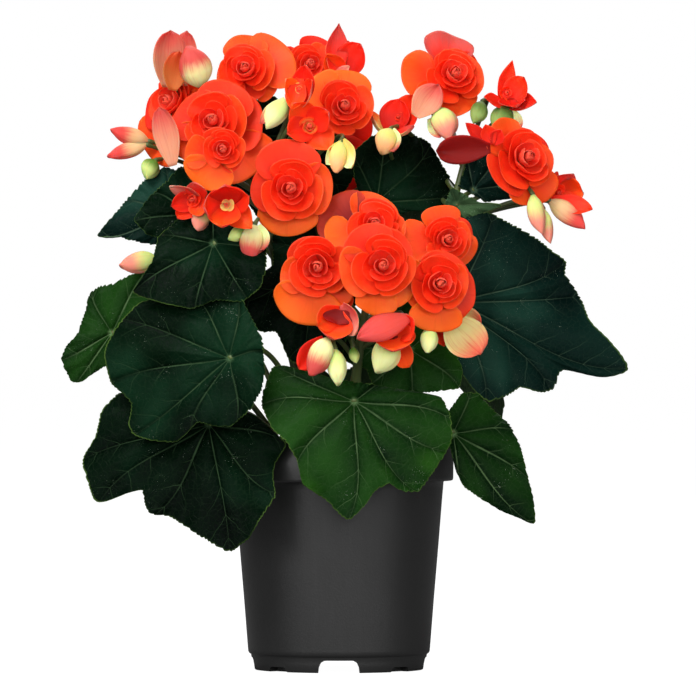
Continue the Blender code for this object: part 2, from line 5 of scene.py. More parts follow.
import bmesh
import bpy
import numpy as np
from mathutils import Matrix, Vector


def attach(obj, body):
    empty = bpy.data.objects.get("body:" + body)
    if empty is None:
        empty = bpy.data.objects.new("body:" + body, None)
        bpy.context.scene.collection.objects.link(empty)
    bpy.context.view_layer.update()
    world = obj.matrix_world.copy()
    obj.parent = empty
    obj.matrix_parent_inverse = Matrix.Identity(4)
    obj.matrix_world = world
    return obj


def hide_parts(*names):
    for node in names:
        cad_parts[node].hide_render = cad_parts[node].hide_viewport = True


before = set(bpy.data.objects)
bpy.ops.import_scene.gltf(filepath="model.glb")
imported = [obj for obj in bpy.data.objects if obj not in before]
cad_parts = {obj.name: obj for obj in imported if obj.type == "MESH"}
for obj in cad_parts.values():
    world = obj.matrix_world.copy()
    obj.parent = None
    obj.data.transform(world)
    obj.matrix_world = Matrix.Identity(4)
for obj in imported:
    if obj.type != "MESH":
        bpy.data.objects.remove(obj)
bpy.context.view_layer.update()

# Lengths and places are in mm. Places are about the pot's own axis, which stands at POT_AXIS in
# the shared frame.
MM = 0.001
POT_AXIS = np.array([-4.8, 4.0, 0.0])
FULL_TURN = 2 * math.pi
LEAF_THICKNESS = 0.55
PETAL_THICKNESS = 0.45
LEAF_RINGS = 30
LEAF_STEP = 1.0
TOOTH = 3.0
SIDE_VEIN_GAP = 14.5
SIDE_VEIN_SLANT = 1.2
LEAF_GLOSS = 0.015
# Degrees from one petal of a heart to the next.
GOLDEN_TURN = 137.5
# Radii at the foot and at the top.
STEM_RADII = (3.4, 1.8)
FLOWER_STALK_RADII = (1.45, 1.1)
LEAF_STALK_RADII = (1.75, 1.15)
SOIL_RADIUS = 63.0
SOIL_TOP = 118.1
SOIL_FALL = 3.2
CRUMBS = 230
DRAIN_CIRCLE = 33


# ---------------------------------------------------------------- meshes

def make_mesh(name, verts, faces, attributes, material, smooth=True):
    """A mesh object, with a value or a vector per point for each attribute."""
    mesh = bpy.data.meshes.new(name)
    places = (np.asarray(verts, float) + POT_AXIS) * MM
    mesh.from_pydata(places.tolist(), [], [list(f) for f in faces])
    mesh.update()
    for key, values in attributes.items():
        values = np.asarray(values, float)
        if values.ndim == 2:
            layer = mesh.attributes.new(key, "FLOAT_VECTOR", "POINT")
            layer.data.foreach_set("vector", values.ravel())
        else:
            layer = mesh.attributes.new(key, "FLOAT", "POINT")
            layer.data.foreach_set("value", values)
    mesh.polygons.foreach_set("use_smooth", [smooth] * len(mesh.polygons))
    obj = bpy.data.objects.new(name, mesh)
    bpy.context.scene.collection.objects.link(obj)
    obj.data.materials.append(material)
    return obj


class Parts:
    """Collects closed shapes into one piece, with a value per point for each attribute."""

    def __init__(self, *keys):
        self.verts = []
        self.faces = []
        self.values = {key: [] for key in keys}
        self.count = 0

    def add(self, verts, faces, **values):
        verts = np.asarray(verts, float)
        self.verts.append(verts)
        self.faces.extend(tuple(i + self.count for i in face) for face in faces)
        for key, rows in self.values.items():
            value = values.get(key, 0.0)
            rows.append(np.broadcast_to(value, (len(verts), *np.shape(value)[1:])))
        self.count += len(verts)

    def build(self, node, suffix, kind):
        """Makes the piece and puts it in the place of its CAD node."""
        attributes = {key: np.concatenate(rows) for key, rows in self.values.items()}
        verts = np.concatenate(self.verts)
        place_piece(make_mesh(node + suffix, verts, self.faces, attributes, MATS[kind]), node, kind)


def grid_normals(points):
    """Unit normals of a grid of points."""
    du = np.gradient(points, axis=0)
    dv = np.gradient(points, axis=1)
    normal = np.cross(du, dv)
    length = np.linalg.norm(normal, axis=2, keepdims=True)
    return normal / np.maximum(length, 1e-9)


def sheet(points, thickness):
    """A closed thin sheet on a grid of points: front points first, then back points."""
    rows, cols = points.shape[:2]
    u = np.abs(np.linspace(-1, 1, cols))[None, :]
    v = np.linspace(0, 1, rows)[:, None]
    rim_share = 0.22
    thick = thickness * (rim_share + (1 - rim_share) * (1 - np.maximum(u, v) ** 8))[..., None]
    offset = grid_normals(points) * thick / 2
    verts = np.concatenate([(points + offset).reshape(-1, 3), (points - offset).reshape(-1, 3)])
    half = rows * cols
    faces = []
    for i in range(rows - 1):
        for j in range(cols - 1):
            a, b = i * cols + j, i * cols + j + 1
            c, d = a + cols, b + cols
            faces.append((a, c, d, b))
            faces.append((half + a, half + b, half + d, half + c))
    rim = [(i, 0) for i in range(rows)] + [(rows - 1, j) for j in range(1, cols)]
    rim += [(i, cols - 1) for i in range(rows - 2, -1, -1)]
    rim += [(0, j) for j in range(cols - 2, 0, -1)]
    rim = [i * cols + j for i, j in rim]
    for a, b in zip(rim, rim[1:] + rim[:1]):
        faces.append((a, half + a, half + b, b))
    return verts, faces


def facing(azimuth, elevation=0.0):
    """Columns: right, up and out, for something that faces this way (degrees)."""
    a, e = math.radians(azimuth), math.radians(-elevation)
    turn = np.array([[math.cos(a), -math.sin(a), 0], [math.sin(a), math.cos(a), 0], [0, 0, 1]])
    tip = np.array([[1, 0, 0], [0, math.cos(e), -math.sin(e)], [0, math.sin(e), math.cos(e)]])
    stand = np.array([[1, 0, 0], [0, 0, -1], [0, 1, 0]])
    return turn @ tip @ stand


def bezier(points, steps):
    """Points along a Bezier curve of any degree."""
    level = [np.asarray(p, float)[None] for p in points]
    t = np.linspace(0, 1, steps + 1)[:, None]
    while len(level) > 1:
        level = [a * (1 - t) + b * t for a, b in zip(level, level[1:])]
    return level[0]


def tube(line, radii, sides=10):
    """A closed tube: its points, faces and share of the way along."""
    line = np.asarray(line, float)
    radii = np.broadcast_to(radii, len(line))
    tangent = np.gradient(line, axis=0)
    tangent /= np.linalg.norm(tangent, axis=1, keepdims=True)
    side = np.cross(tangent[0], [0.3, 0.9, 0.2])
    verts, share = [], []
    angles = np.linspace(0, FULL_TURN, sides, endpoint=False)
    for i, (place, axis, radius) in enumerate(zip(line, tangent, radii)):
        side = side - axis * side.dot(axis)
        side /= np.linalg.norm(side)
        other = np.cross(axis, side)
        ring = np.cos(angles)[:, None] * side + np.sin(angles)[:, None] * other
        verts.append(place + ring * radius)
        share.append(np.full(sides, i / (len(line) - 1)))
    faces = []
    for i in range(len(line) - 1):
        for j in range(sides):
            k = (j + 1) % sides
            faces.append((i * sides + j, i * sides + k, (i + 1) * sides + k, (i + 1) * sides + j))
    last = (len(line) - 1) * sides
    faces.append(tuple(range(sides - 1, -1, -1)))
    faces.append(tuple(range(last, last + sides)))
    return np.concatenate(verts), faces, np.concatenate(share)


def taper(radii, count):
    """Radii from the first one to the second one."""
    start, end = radii
    return start + (end - start) * np.linspace(0, 1, count)


# ---------------------------------------------------------------- materials

class Nodes:
    """Short names for building a node tree."""

    def __init__(self, name):
        self.mat = bpy.data.materials.new(name)
        self.mat.use_nodes = True
        self.tree = self.mat.node_tree
        self.shader = self.tree.nodes["Principled BSDF"]

    def node(self, kind, **inputs):
        node = self.tree.nodes.new("ShaderNode" + kind)
        for key, value in inputs.items():
            self.put(node.inputs[key.replace("_", " ")], value)
        return node

    def put(self, socket, value):
        if isinstance(value, bpy.types.NodeSocket):
            self.tree.links.new(value, socket)
        elif isinstance(value, (tuple, list)) and len(value) == 3 and socket.type == "RGBA":
            socket.default_value = (*value, 1.0)
        else:
            socket.default_value = value

    def math(self, operation, a, b=0.0, c=0.0, clamp=False):
        node = self.tree.nodes.new("ShaderNodeMath")
        node.operation = operation
        node.use_clamp = clamp
        for socket, value in zip(node.inputs, (a, b, c)):
            self.put(socket, value)
        return node.outputs[0]

    def value(self, key, output="Fac"):
        node = self.tree.nodes.new("ShaderNodeAttribute")
        node.attribute_name = key
        return node.outputs[output]

    def vector(self, key):
        return self.value(key, "Vector")

    def place(self):
        return self.node("TexCoord").outputs["Object"]

    def noise(self, where, scale, detail=3.0, rough=0.5):
        node = self.node("TexNoise", Vector=where, Scale=scale, Detail=detail, Roughness=rough)
        return node.outputs[0]

    def stretched(self, where, along_z):
        """Places squeezed along Z, so that a noise runs in upright lines."""
        return self.node("Mapping", Vector=where, Scale=(1.0, 1.0, along_z)).outputs[0]

    def cells(self, where, scale):
        node = self.tree.nodes.new("ShaderNodeTexVoronoi")
        node.feature = "DISTANCE_TO_EDGE"
        self.put(node.inputs["Vector"], where)
        self.put(node.inputs["Scale"], scale)
        return node.outputs["Distance"]

    def step(self, value, low, high, to_low=0.0, to_high=1.0):
        """A smooth step between two values."""
        node = self.tree.nodes.new("ShaderNodeMapRange")
        node.interpolation_type = "SMOOTHSTEP"
        sockets = ("Value", "From Min", "From Max", "To Min", "To Max")
        for key, item in zip(sockets, (value, low, high, to_low, to_high)):
            self.put(node.inputs[key], item)
        return node.outputs[0]

    def mix(self, share, a, b, blend="MIX"):
        node = self.tree.nodes.new("ShaderNodeMix")
        node.data_type = "RGBA"
        node.blend_type = blend
        self.put(node.inputs[0], share)
        self.put(node.inputs[6], a)
        self.put(node.inputs[7], b)
        return node.outputs[2]

    def ramp(self, value, stops):
        node = self.tree.nodes.new("ShaderNodeValToRGB")
        ramp = node.color_ramp
        while len(ramp.elements) < len(stops):
            ramp.elements.new(0.5)
        for element, (at, colour) in zip(ramp.elements, stops):
            element.position = at
            element.color = (*colour, 1.0)
        self.put(node.inputs[0], value)
        return node.outputs[0]

    def bump(self, height, strength, distance):
        node = self.tree.nodes.new("ShaderNodeBump")
        node.inputs["Strength"].default_value = strength
        node.inputs["Distance"].default_value = distance
        self.put(node.inputs["Height"], height)
        self.tree.links.new(node.outputs[0], self.shader.inputs["Normal"])

    def finish(self, colour, roughness, **constants):
        self.put(self.shader.inputs["Base Color"], colour)
        self.put(self.shader.inputs["Roughness"], roughness)
        for key, value in constants.items():
            self.shader.inputs[key.replace("_", " ")].default_value = value
        return self.mat


def times(colour, factor):
    return tuple(min(1.0, factor * c) for c in colour)


def leaf_material(name, dark, light, patch_and_sheen, vein, under):
    """A blade with pale veins, painted shade along the main veins and painted highlight between them,
    clouds of green that are partly painted sheen, a paler underside and a light rim.
    """
    n = Nodes(name)
    place = n.place()
    flat = n.vector("flat")
    off, along, gap = n.value("vein_off"), n.value("vein_along"), n.value("vein_gap")
    edge, below = n.value("edge"), n.value("under")
    wander = n.math("MULTIPLY_ADD", n.noise(flat, 0.07, 2.0), 9.0, -4.5)
    width = n.math("MAXIMUM", n.math("MULTIPLY_ADD", along, -0.007, 0.62), 0.2)
    width = n.math("MULTIPLY", width, n.step(along, 0.0, 16.0, 0.3, 1.0))
    main = n.step(n.math("DIVIDE", off, width), 0.35, 1.3, 1.0, 0.0)
    main = n.math("MULTIPLY", main, n.step(edge, 0.55, 0.97, 1.0, 0.25))
    dim = n.step(n.noise(flat, 0.05, 2.0), 0.38, 0.62, 0.45, 1.0)
    main = n.math("MULTIPLY", main, dim)
    slanted = n.math("SUBTRACT", along, n.math("MULTIPLY", off, SIDE_VEIN_SLANT))
    phase = n.math("DIVIDE", n.math("ADD", slanted, wander), SIDE_VEIN_GAP)
    saw = n.math("ABSOLUTE", n.math("SUBTRACT", n.math("FRACT", phase), 0.5))
    side = n.step(saw, 0.006, 0.032, 1.0, 0.0)
    reach = n.math("DIVIDE", off, n.math("MAXIMUM", gap, 0.5))
    side = n.math("MULTIPLY", side, n.step(reach, 0.1, 0.85, 0.85, 0.0))
    side = n.math("MULTIPLY", side, n.step(along, 9.0, 17.0))
    net = n.step(n.cells(flat, 0.3), 0.0, 0.08, 1.0, 0.0)
    mottle = n.noise(place, 30.0, 4.0, 0.6)
    patch = n.noise(place, 14.0, 2.0)
    cloud = n.noise(n.node("Mapping", Vector=place, Location=(3.1, 1.7, 0.4)).outputs[0], 17.0, 2.0)
    tone = n.math("MULTIPLY_ADD", mottle, 0.9, n.math("MULTIPLY_ADD", patch, 2.2, -1.25))
    # Lighter midway between the main veins, where the blade puffs up: painted highlight.
    tone = n.math("ADD", tone, n.step(reach, 0.0, 0.8, 0.0, 0.3), clamp=True)
    base = n.mix(tone, dark, light)
    # Lighter clouds of green: partly the leaf's own mottling, partly painted sheen.
    base = n.mix(n.step(cloud, 0.48, 0.68, 0.0, 0.85), base, patch_and_sheen)
    # Darker close to the main veins, in their grooves: painted shade.
    base = n.mix(n.step(reach, 0.0, 0.16, 0.5, 0.0), base, times(dark, 0.5))
    base = n.mix(n.math("MULTIPLY", net, 0.05), base, vein)
    base = n.mix(n.math("MULTIPLY", side, 0.32), base, vein)
    base = n.mix(n.math("MULTIPLY", main, 0.62), base, vein)
    base = n.mix(n.step(along, 0.6, 3.2, 0.6, 0.0), base, times(vein, 1.5))
    veins = n.math("MULTIPLY", n.math("ADD", main, n.math("MULTIPLY", side, 0.6)), 0.6)
    back = n.mix(veins, under, times(under, 1.7))
    back = n.mix(n.step(mottle, 0.35, 0.7, 0.0, 0.4), back, times(under, 0.6))
    base = n.mix(below, base, back)
    rim = n.math("MULTIPLY", n.step(edge, 0.986, 0.997), n.step(mottle, 0.35, 0.6, 0.2, 0.8))
    base = n.mix(rim, base, (0.07, 0.13, 0.025))
    dots = n.math("GREATER_THAN", n.noise(flat, 2.1, 1.0, 0.2), 0.77)
    dots = n.math("MULTIPLY", dots, n.step(n.noise(flat, 0.06, 1.0), 0.55, 0.68))
    base = n.mix(n.math("MULTIPLY", dots, 0.5), base, (0.5, 0.58, 0.46))
    rough = n.step(mottle, 0.3, 0.75, 0.30, 0.42)
    height = n.math("MULTIPLY_ADD", side, -0.6, n.math("MULTIPLY", net, -0.25))
    height = n.math("MULTIPLY_ADD", main, -0.4, height)
    height = n.math("MULTIPLY_ADD", n.noise(flat, 0.5, 3.0), 0.8, height)
    n.bump(height, 0.5, 0.0008)
    return n.finish(base, rough, Specular_IOR_Level=LEAF_GLOSS)


def petal_material(name, gloss):
    """A petal: the mesh gives the colour at its foot and tip, the material its streaks and a painted
    highlight along its rim.
    """
    n = Nodes(name)
    place = n.place()
    along, across, edge = n.value("along"), n.value("across"), n.value("edge")
    low, high = n.vector("low"), n.vector("high")
    vary = n.noise(place, 70.0, 3.0)
    x, y, z = (n.math("MULTIPLY", v, k) for v, k in ((across, 8.0), (along, 0.7), (vary, 0.6)))
    streak = n.noise(n.node("CombineXYZ", X=x, Y=y, Z=z).outputs[0], 1.7, 3.0, 0.6)
    climb = n.math("ADD", along, n.math("MULTIPLY_ADD", streak, 0.5, -0.25))
    colour = n.mix(n.step(climb, 0.30, 0.98), low, high)
    deep = n.mix(1.0, colour, (0.82, 0.55, 0.55), blend="MULTIPLY")
    colour = n.mix(n.step(streak, 0.5, 0.75, 0.0, 0.45), colour, deep)
    # Paler towards the rim of each petal: a painted highlight along the edge.
    pale = n.mix(0.14, colour, (1.0, 0.4, 0.25))
    colour = n.mix(n.step(edge, 0.95, 1.0, 0.0, 0.22), colour, pale)
    n.bump(n.math("ADD", streak, n.math("MULTIPLY", n.noise(place, 420.0, 2.0), 0.3)), 0.22, 0.0005)
    rough = n.step(vary, 0.3, 0.7, gloss, gloss + 0.14)
    return n.finish(colour, rough, Subsurface_Weight=0.4, Subsurface_Scale=0.005,
                    Subsurface_Radius=(1.0, 0.12, 0.05), Specular_IOR_Level=0.10)


def stem_material(name, low, high):
    n = Nodes(name)
    place = n.place()
    along = n.value("along")
    vary = n.noise(place, 90.0, 4.0)
    lines = n.noise(n.stretched(place, 0.08), 420.0, 2.0)
    share = n.math("MULTIPLY_ADD", vary, 0.5, n.math("MULTIPLY", along, 0.6), clamp=True)
    colour = n.mix(share, low, high)
    colour = n.mix(n.step(lines, 0.45, 0.7, 0.0, 0.35), colour, times(low, 0.55))
    n.bump(lines, 0.3, 0.0004)
    return n.finish(colour, n.step(vary, 0.3, 0.7, 0.38, 0.55), Subsurface_Weight=0.08,
                    Subsurface_Scale=0.003, Specular_IOR_Level=0.45)


def pot_material():
    n = Nodes("pot_plastic")
    place = n.place()
    cloud = n.noise(place, 14.0, 3.0)
    grain = n.noise(place, 900.0, 2.0)
    drawn = n.noise(n.stretched(place, 0.03), 300.0, 3.0)
    colour = n.mix(cloud, (0.011, 0.011, 0.011), (0.014, 0.014, 0.014))
    colour = n.mix(n.step(drawn, 0.55, 0.8, 0.0, 0.3), colour, (0.018, 0.018, 0.018))
    dust = n.step(n.noise(place, 1500.0, 1.0), 0.7, 0.78, 0.0, 0.35)
    colour = n.mix(dust, colour, (0.04, 0.038, 0.036))
    n.bump(n.math("MULTIPLY_ADD", drawn, 0.6, grain), 0.18, 0.0003)
    rough = n.math("MULTIPLY_ADD", cloud, 0.10, n.math("MULTIPLY_ADD", drawn, 0.06, 0.28))
    return n.finish(colour, rough, Specular_IOR_Level=0.44)


def soil_material():
    n = Nodes("soil")
    place = n.place()
    clump = n.noise(place, 220.0, 5.0, 0.7)
    fibre = n.cells(place, 420.0)
    tint = n.value("tint")
    browns = [(0.3, (0.012, 0.008, 0.006)), (0.5, (0.045, 0.028, 0.018)), (0.75, (0.12, 0.075, 0.045))]
    colour = n.ramp(clump, browns)
    colour = n.mix(n.step(fibre, 0.0, 0.12, 0.5, 0.0), colour, (0.01, 0.007, 0.005))
    colour = n.mix(tint, colour, (0.62, 0.6, 0.55))
    n.bump(n.math("ADD", clump, fibre), 0.8, 0.0015)
    return n.finish(colour, n.step(clump, 0.3, 0.7, 0.8, 0.98), Specular_IOR_Level=0.25)


def floor_material():
    """A pale floor that gives off an even white light, which only the camera sees."""
    n = Nodes("studio_floor")
    vary = n.noise(n.place(), 3.0, 2.0)
    colour = n.mix(vary, (0.13, 0.13, 0.13), (0.16, 0.16, 0.16))
    n.put(n.shader.inputs["Emission Color"], (1.0, 1.0, 1.0))
    seen = n.node("LightPath").outputs["Is Camera Ray"]
    n.put(n.shader.inputs["Emission Strength"], n.math("MULTIPLY", seen, 0.99))
    return n.finish(colour, 0.9, Specular_IOR_Level=0.0)


MATS = {
    "bright": leaf_material("leaf_mid_green", (0.0016, 0.008, 0.0022), (0.009, 0.040, 0.005),
                            (0.018, 0.078, 0.004), (0.085, 0.15, 0.06), (0.05, 0.10, 0.035)),
    "dark": leaf_material("leaf_dark_green", (0.0003, 0.0016, 0.0008), (0.0012, 0.0065, 0.0024),
                          (0.0040, 0.020, 0.0085), (0.036, 0.072, 0.032), (0.045, 0.085, 0.04)),
    "blue": leaf_material("leaf_blue_green", (0.0010, 0.005, 0.004), (0.003, 0.014, 0.010),
                          (0.009, 0.036, 0.024), (0.05, 0.09, 0.055), (0.045, 0.08, 0.045)),
    "grey": leaf_material("leaf_underside_grey", (0.02, 0.045, 0.02), (0.04, 0.08, 0.035),
                          (0.05, 0.10, 0.04), (0.07, 0.12, 0.05), (0.01, 0.03, 0.01)),
    "open": petal_material("petal_red_orange", 0.42),
    "orange": petal_material("petal_orange", 0.44),
    "deep": petal_material("petal_deep_red", 0.48),
    "pink": petal_material("petal_pink", 0.44),
    "cream": petal_material("petal_cream", 0.42),
    "stem": stem_material("stem", (0.035, 0.055, 0.012), (0.085, 0.115, 0.03)),
    "pot": pot_material(),
    "soil": soil_material(),
}


def place_piece(piece, node, kind):
    """Everything is on the one body."""
    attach(piece, "root")
    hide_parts(node)


# ---------------------------------------------------------------- leaves

# A leaf: its hub, its slopes across (turn) and up (lean), how far its edge bends back, the start
# and the middle of its stalk, its green, its outline from the hub, and where its main veins end.
LEAVES = {
    "leaf_front_centre": dict(
        hub=(8.5, -73, 152), turn=0.02, lean=0.34, bend=8, start=(8, -27, 118.6), via=(8, -48, 172),
        green="bright",
        outline=[(54, -8), (49, 3), (26, 7), (8, 10), (-12, 13), (-31, 18), (-42, 21), (-46, 19),
            (-51, 6), (-52, -2), (-46, -15), (-38, -22), (-32, -32), (-29, -46), (-20, -52), (-15, -55),
            (-7, -64), (-3, -66), (5, -59), (12, -49), (20, -45), (27, -50), (36, -50), (43, -41),
            (51, -29), (55, -21)],
        veins=[(54, -10), (12, 9), (-44, 20), (-52, -2), (-32, -34), (-3, -66), (34, -50), (52, -28)]),
    "leaf_left_large": dict(
        hub=(-60.5, -80, 176), turn=-0.3, lean=0.2, bend=6, start=(-14, -22, 118.6),
        via=(-34, -38, 196), green="dark",
        outline=[(19, 6), (18, 12), (7, 33), (-10, 37), (-29, 38), (-52, 31), (-63, 19), (-70, 7),
            (-71, 1), (-69, -7), (-67, -15), (-62, -18), (-55, -25), (-57, -38), (-54, -43), (-44, -46),
            (-30, -47), (-24, -43), (-19, -35), (-8, -38), (1, -38), (12, -28), (18, -18), (20, -8)],
        veins=[(19, 4), (5, 34), (-22, 38), (-60, 22), (-68, -14), (-54, -43), (-22, -40), (4, -37)]),
    "leaf_left_low": dict(
        hub=(-72.4, -60, 139), turn=-0.15, lean=0.3, bend=9, start=(-26, -16, 118.6),
        via=(-52, -36, 158), green="dark",
        outline=[(29, 3), (15, 12), (-5, 16), (-28, 19), (-51, 18), (-61, 8), (-64, -7), (-72, -20),
            (-68, -33), (-64, -44), (-58, -44), (-46, -38), (-37, -36), (-36, -44), (-33, -50),
            (-22, -51), (-9, -59), (2, -66), (12, -71), (23, -63), (28, -54), (38, -39), (36, -30),
            (37, -22), (44, -11)],
        veins=[(44, -10), (8, 14), (-50, 18), (-71, -20), (-62, -44), (-30, -50), (12, -71),
            (37, -38)]),
    "leaf_far_left": dict(
        hub=(-128, -24, 190), turn=-0.3, lean=0.25, bend=5, start=(-27, -2, 118.6), via=(-80, -8, 200),
        green="bright",
        outline=[(34, 4), (40, 18), (34, 32), (21, 36), (10, 33), (0, 28), (-7, 27), (-13, 23),
            (-15, 14), (-20, -1), (-26, -7), (-29, -14), (-27, -20), (-23, -28), (-18, -28), (-4, -19),
            (8, -17), (22, -9)],
        veins=[(39, 16), (20, 36), (-12, 24), (-28, -15), (-20, -28), (22, -9)]),
    "leaf_right_low": dict(
        hub=(64, -47, 134), turn=0.35, lean=0.3, bend=6, start=(28, -16, 118.6), via=(46, -30, 160),
        green="bright",
        outline=[(32, 5), (23, 13), (14, 23), (5, 23), (-3, 12), (-6, 1), (-1, -10), (1, -21), (6, -30),
            (16, -37), (27, -44), (38, -48), (47, -53), (45, -35), (42, -24), (38, -7)],
        veins=[(34, 2), (10, 23), (-6, 2), (3, -26), (47, -53), (43, -26)]),
    "leaf_right_large": dict(
        hub=(65.6, -24, 207), turn=0.2, lean=0.22, bend=8, start=(29, 2, 118.6), via=(42, 6, 196),
        green="blue",
        outline=[(72, 2), (67, 10), (62, 17), (64, 24), (55, 30), (48, 36), (36, 43), (19, 52), (0, 50),
            (-8, 32), (-12, 8), (-7, -15), (0, -35), (10, -49), (18, -56), (30, -52), (37, -47),
            (48, -51), (56, -49), (59, -38), (64, -37), (81, -43), (92, -41), (101, -38), (93, -27),
            (86, -19), (77, -11)],
        veins=[(72, 4), (64, 24), (22, 51), (-8, 32), (-4, -22), (17, -55), (55, -50), (101, -38)]),
    "leaf_left_mid": dict(
        hub=(-70, -62, 240), turn=-0.1, lean=0.45, bend=4, start=(-37.5, -22, 206), via=(-52, -42, 236),
        green="dark",
        outline=[(30, 4), (20, 14), (0, 18), (-20, 14), (-31, 4), (-34, -10), (-40, -20), (-46, -28),
            (-37, -31), (-27, -34), (-12, -37), (2, -32), (17, -33), (27, -25), (30, -14)],
        veins=[(30, 0), (0, 18), (-30, 5), (-45, -28), (-10, -37), (20, -32)]),
    "leaf_upper_left": dict(
        hub=(-95.5, -10, 257), turn=-0.1, lean=0.3, bend=4, start=(-46, -5, 226), via=(-68, -2, 250),
        green="blue",
        outline=[(15, 12), (8, 24), (-3, 28), (-14, 21), (-24, 10), (-34, -2), (-43, -13), (-31, -12),
            (-17, -16), (-4, -18), (5, -14), (15, -4)],
        veins=[(15, 10), (-3, 28), (-26, 8), (-43, -13), (-4, -18)]),
    "leaf_upper_left_inner": dict(
        hub=(-84, -27, 257), turn=0.1, lean=0.2, bend=4, start=(-46, -14, 218), via=(-66, -18, 244),
        green="dark",
        outline=[(20, 0), (16, 20), (6, 30), (-6, 27), (-14, 18), (-23, 10), (-32, -3), (-24, -12),
            (-12, -15), (0, -17), (14, -14)],
        veins=[(20, 2), (4, 30), (-20, 12), (-31, -4), (-2, -17)]),
    "leaf_top_centre": dict(
        hub=(21.5, -2, 264), turn=0.1, lean=0.25, bend=5, start=(3, 32, 214), via=(13, 18, 250),
        green="dark",
        outline=[(49, 4), (44, 11), (38, 21), (30, 35), (10, 45), (-4, 38), (-14, 29), (-13, 14),
            (-10, 3), (-3, -6), (13, -7), (22, -4), (36, -5)],
        veins=[(49, 4), (31, 34), (6, 44), (-14, 28), (-10, 2), (20, -5)]),
    "leaf_small_grey": dict(
        hub=(66, -42, 262), turn=0.2, lean=-0.3, bend=2, start=(62.5, -9.5, 257), via=(63, -22, 262),
        green="grey",
        outline=[(14, 1), (-3, 10), (-7, 1), (-1, -8), (8, -7), (28, 0)],
        veins=[(27, 0), (-3, 10), (-1, -8)]),
    "leaf_small_dark": dict(
        hub=(76, -13, 271), turn=0.2, lean=0.2, bend=3, start=(64, -1.6, 262), via=(69, 0, 267),
        green="blue",
        outline=[(26, 6), (15, 23), (-3, 18), (-9, 2), (7, -7), (22, -5)],
        veins=[(26, 6), (14, 23), (-3, 18), (8, -7)]),
    "leaf_centre_high": dict(
        hub=(-8, -34, 236), turn=0.0, lean=0.25, bend=4, start=(9, -44, 176), via=(4, -40, 214),
        green="dark",
        outline=[(34, 2), (31, 16), (20, 26), (6, 18), (-12, 26), (-22, 20), (-30, 8), (-29, -8),
            (-46, -20), (-47, -36), (-36, -46), (-27, -45), (-20, -62), (-6, -67), (8, -66), (12, -52),
            (14, -34), (28, -22)],
        veins=[(34, 4), (18, 26), (-14, 26), (-30, 6), (-43, -27), (-10, -67), (12, -50), (27, -22)]),
    "leaf_centre_low": dict(
        hub=(40, -36, 181), turn=0.15, lean=0.3, bend=3, start=(21, -22, 118.6), via=(28, -20, 174),
        green="bright",
        outline=[(30, -12), (23, 6), (14, 14), (6, 29), (-12, 31), (-26, 14), (-38, 7), (-42, -1),
            (-35, -8), (-25, -11), (-22, -19), (-14, -24), (1, -25), (15, -24), (28, -22)],
        veins=[(27, -21), (13, 12), (-8, 31), (-41, 1), (-20, -18), (1, -25)]),
}

BACK_OUTLINE = [
    (0.42, 0.05), (0.44, 0.22), (0.28, 0.36), (0.08, 0.22), (-0.2, 0.36), (-0.46, 0.3),
    (-0.62, 0.08), (-0.56, -0.16), (-0.66, -0.4), (-0.44, -0.58), (-0.3, -0.8), (-0.06, -1.0),
    (0.08, -0.84), (0.24, -0.76), (0.4, -0.5), (0.52, -0.3),
]
BACK_VEINS = [(0.44, 0.2), (-0.2, 0.36), (-0.6, 0.1), (-0.65, -0.38), (-0.06, -1.0), (0.42, -0.46)]
BACK_LEAVES = {
    "leaf_back_low": dict(
        hub=(2, 84, 150), faces=180, size=70, turn=0.0, lean=0.35, bend=8, start=(2, 29, 118.6),
        via=(2, 52, 172), green="dark"),
    "leaf_back_left": dict(
        hub=(-82, 34, 190), faces=252, size=68, turn=0.1, lean=0.3, bend=8, start=(-24, 20, 118.6),
        via=(-50, 30, 208), green="bright"),
    "leaf_back_right": dict(
        hub=(76, 36, 194), faces=106, size=66, turn=0.1, lean=0.3, bend=8, start=(26, 20, 118.6),
        via=(52, 30, 208), green="dark"),
    "leaf_back_upper": dict(
        hub=(-24, 30, 302), faces=8, size=66, turn=0.0, lean=0.2, bend=6, start=(-8, 36, 214),
        via=(-18, 48, 270), green="dark"),
    "leaf_back_top": dict(
        hub=(36, 60, 244), faces=160, size=56, turn=0.0, lean=0.4, bend=6, start=(7, 38, 222),
        via=(16, 46, 258), green="blue"),
}


def reach_of(outline, angles):
    """Distance from the hub to the outline in each direction."""
    points = np.asarray(outline, float)
    nxt = np.roll(points, -1, axis=0)
    reach = np.zeros(len(angles))
    for k, a in enumerate(angles):
        d = np.array([math.cos(a), math.sin(a)])
        e = nxt - points
        det = d[0] * e[:, 1] - d[1] * e[:, 0]
        det = np.where(np.abs(det) < 1e-9, 1e-9, det)
        r = (points[:, 0] * e[:, 1] - points[:, 1] * e[:, 0]) / det
        s = (points[:, 0] * d[1] - points[:, 1] * d[0]) / det
        ok = (r > 0) & (s >= -1e-6) & (s <= 1 + 1e-6)
        reach[k] = r[ok].max() if ok.any() else np.hypot(*points.T).mean()
    return reach


def soften(values, angles, width):
    """A running average round a closed outline."""
    gaps = (angles[None, :] - angles[:, None] + math.pi) % FULL_TURN - math.pi
    weight = np.exp(-(gaps / width) ** 2)
    weight *= np.gradient(np.unwrap(angles))[None, :]
    return (weight * values[None, :]).sum(axis=1) / weight.sum(axis=1)


def leaf_rays(ends, size):
    """Rays between the main veins: angle, share of the way from the nearer vein, sector's angle."""
    rays = []
    for a, b in zip(ends, ends[1:] + [ends[0] + FULL_TURN]):
        steps = max(8, int(round((b - a) * size / LEAF_STEP)))
        rays += [(a + (b - a) * i / steps, min(i / steps, 1 - i / steps), b - a) for i in range(steps)]
    return np.array(rays).T


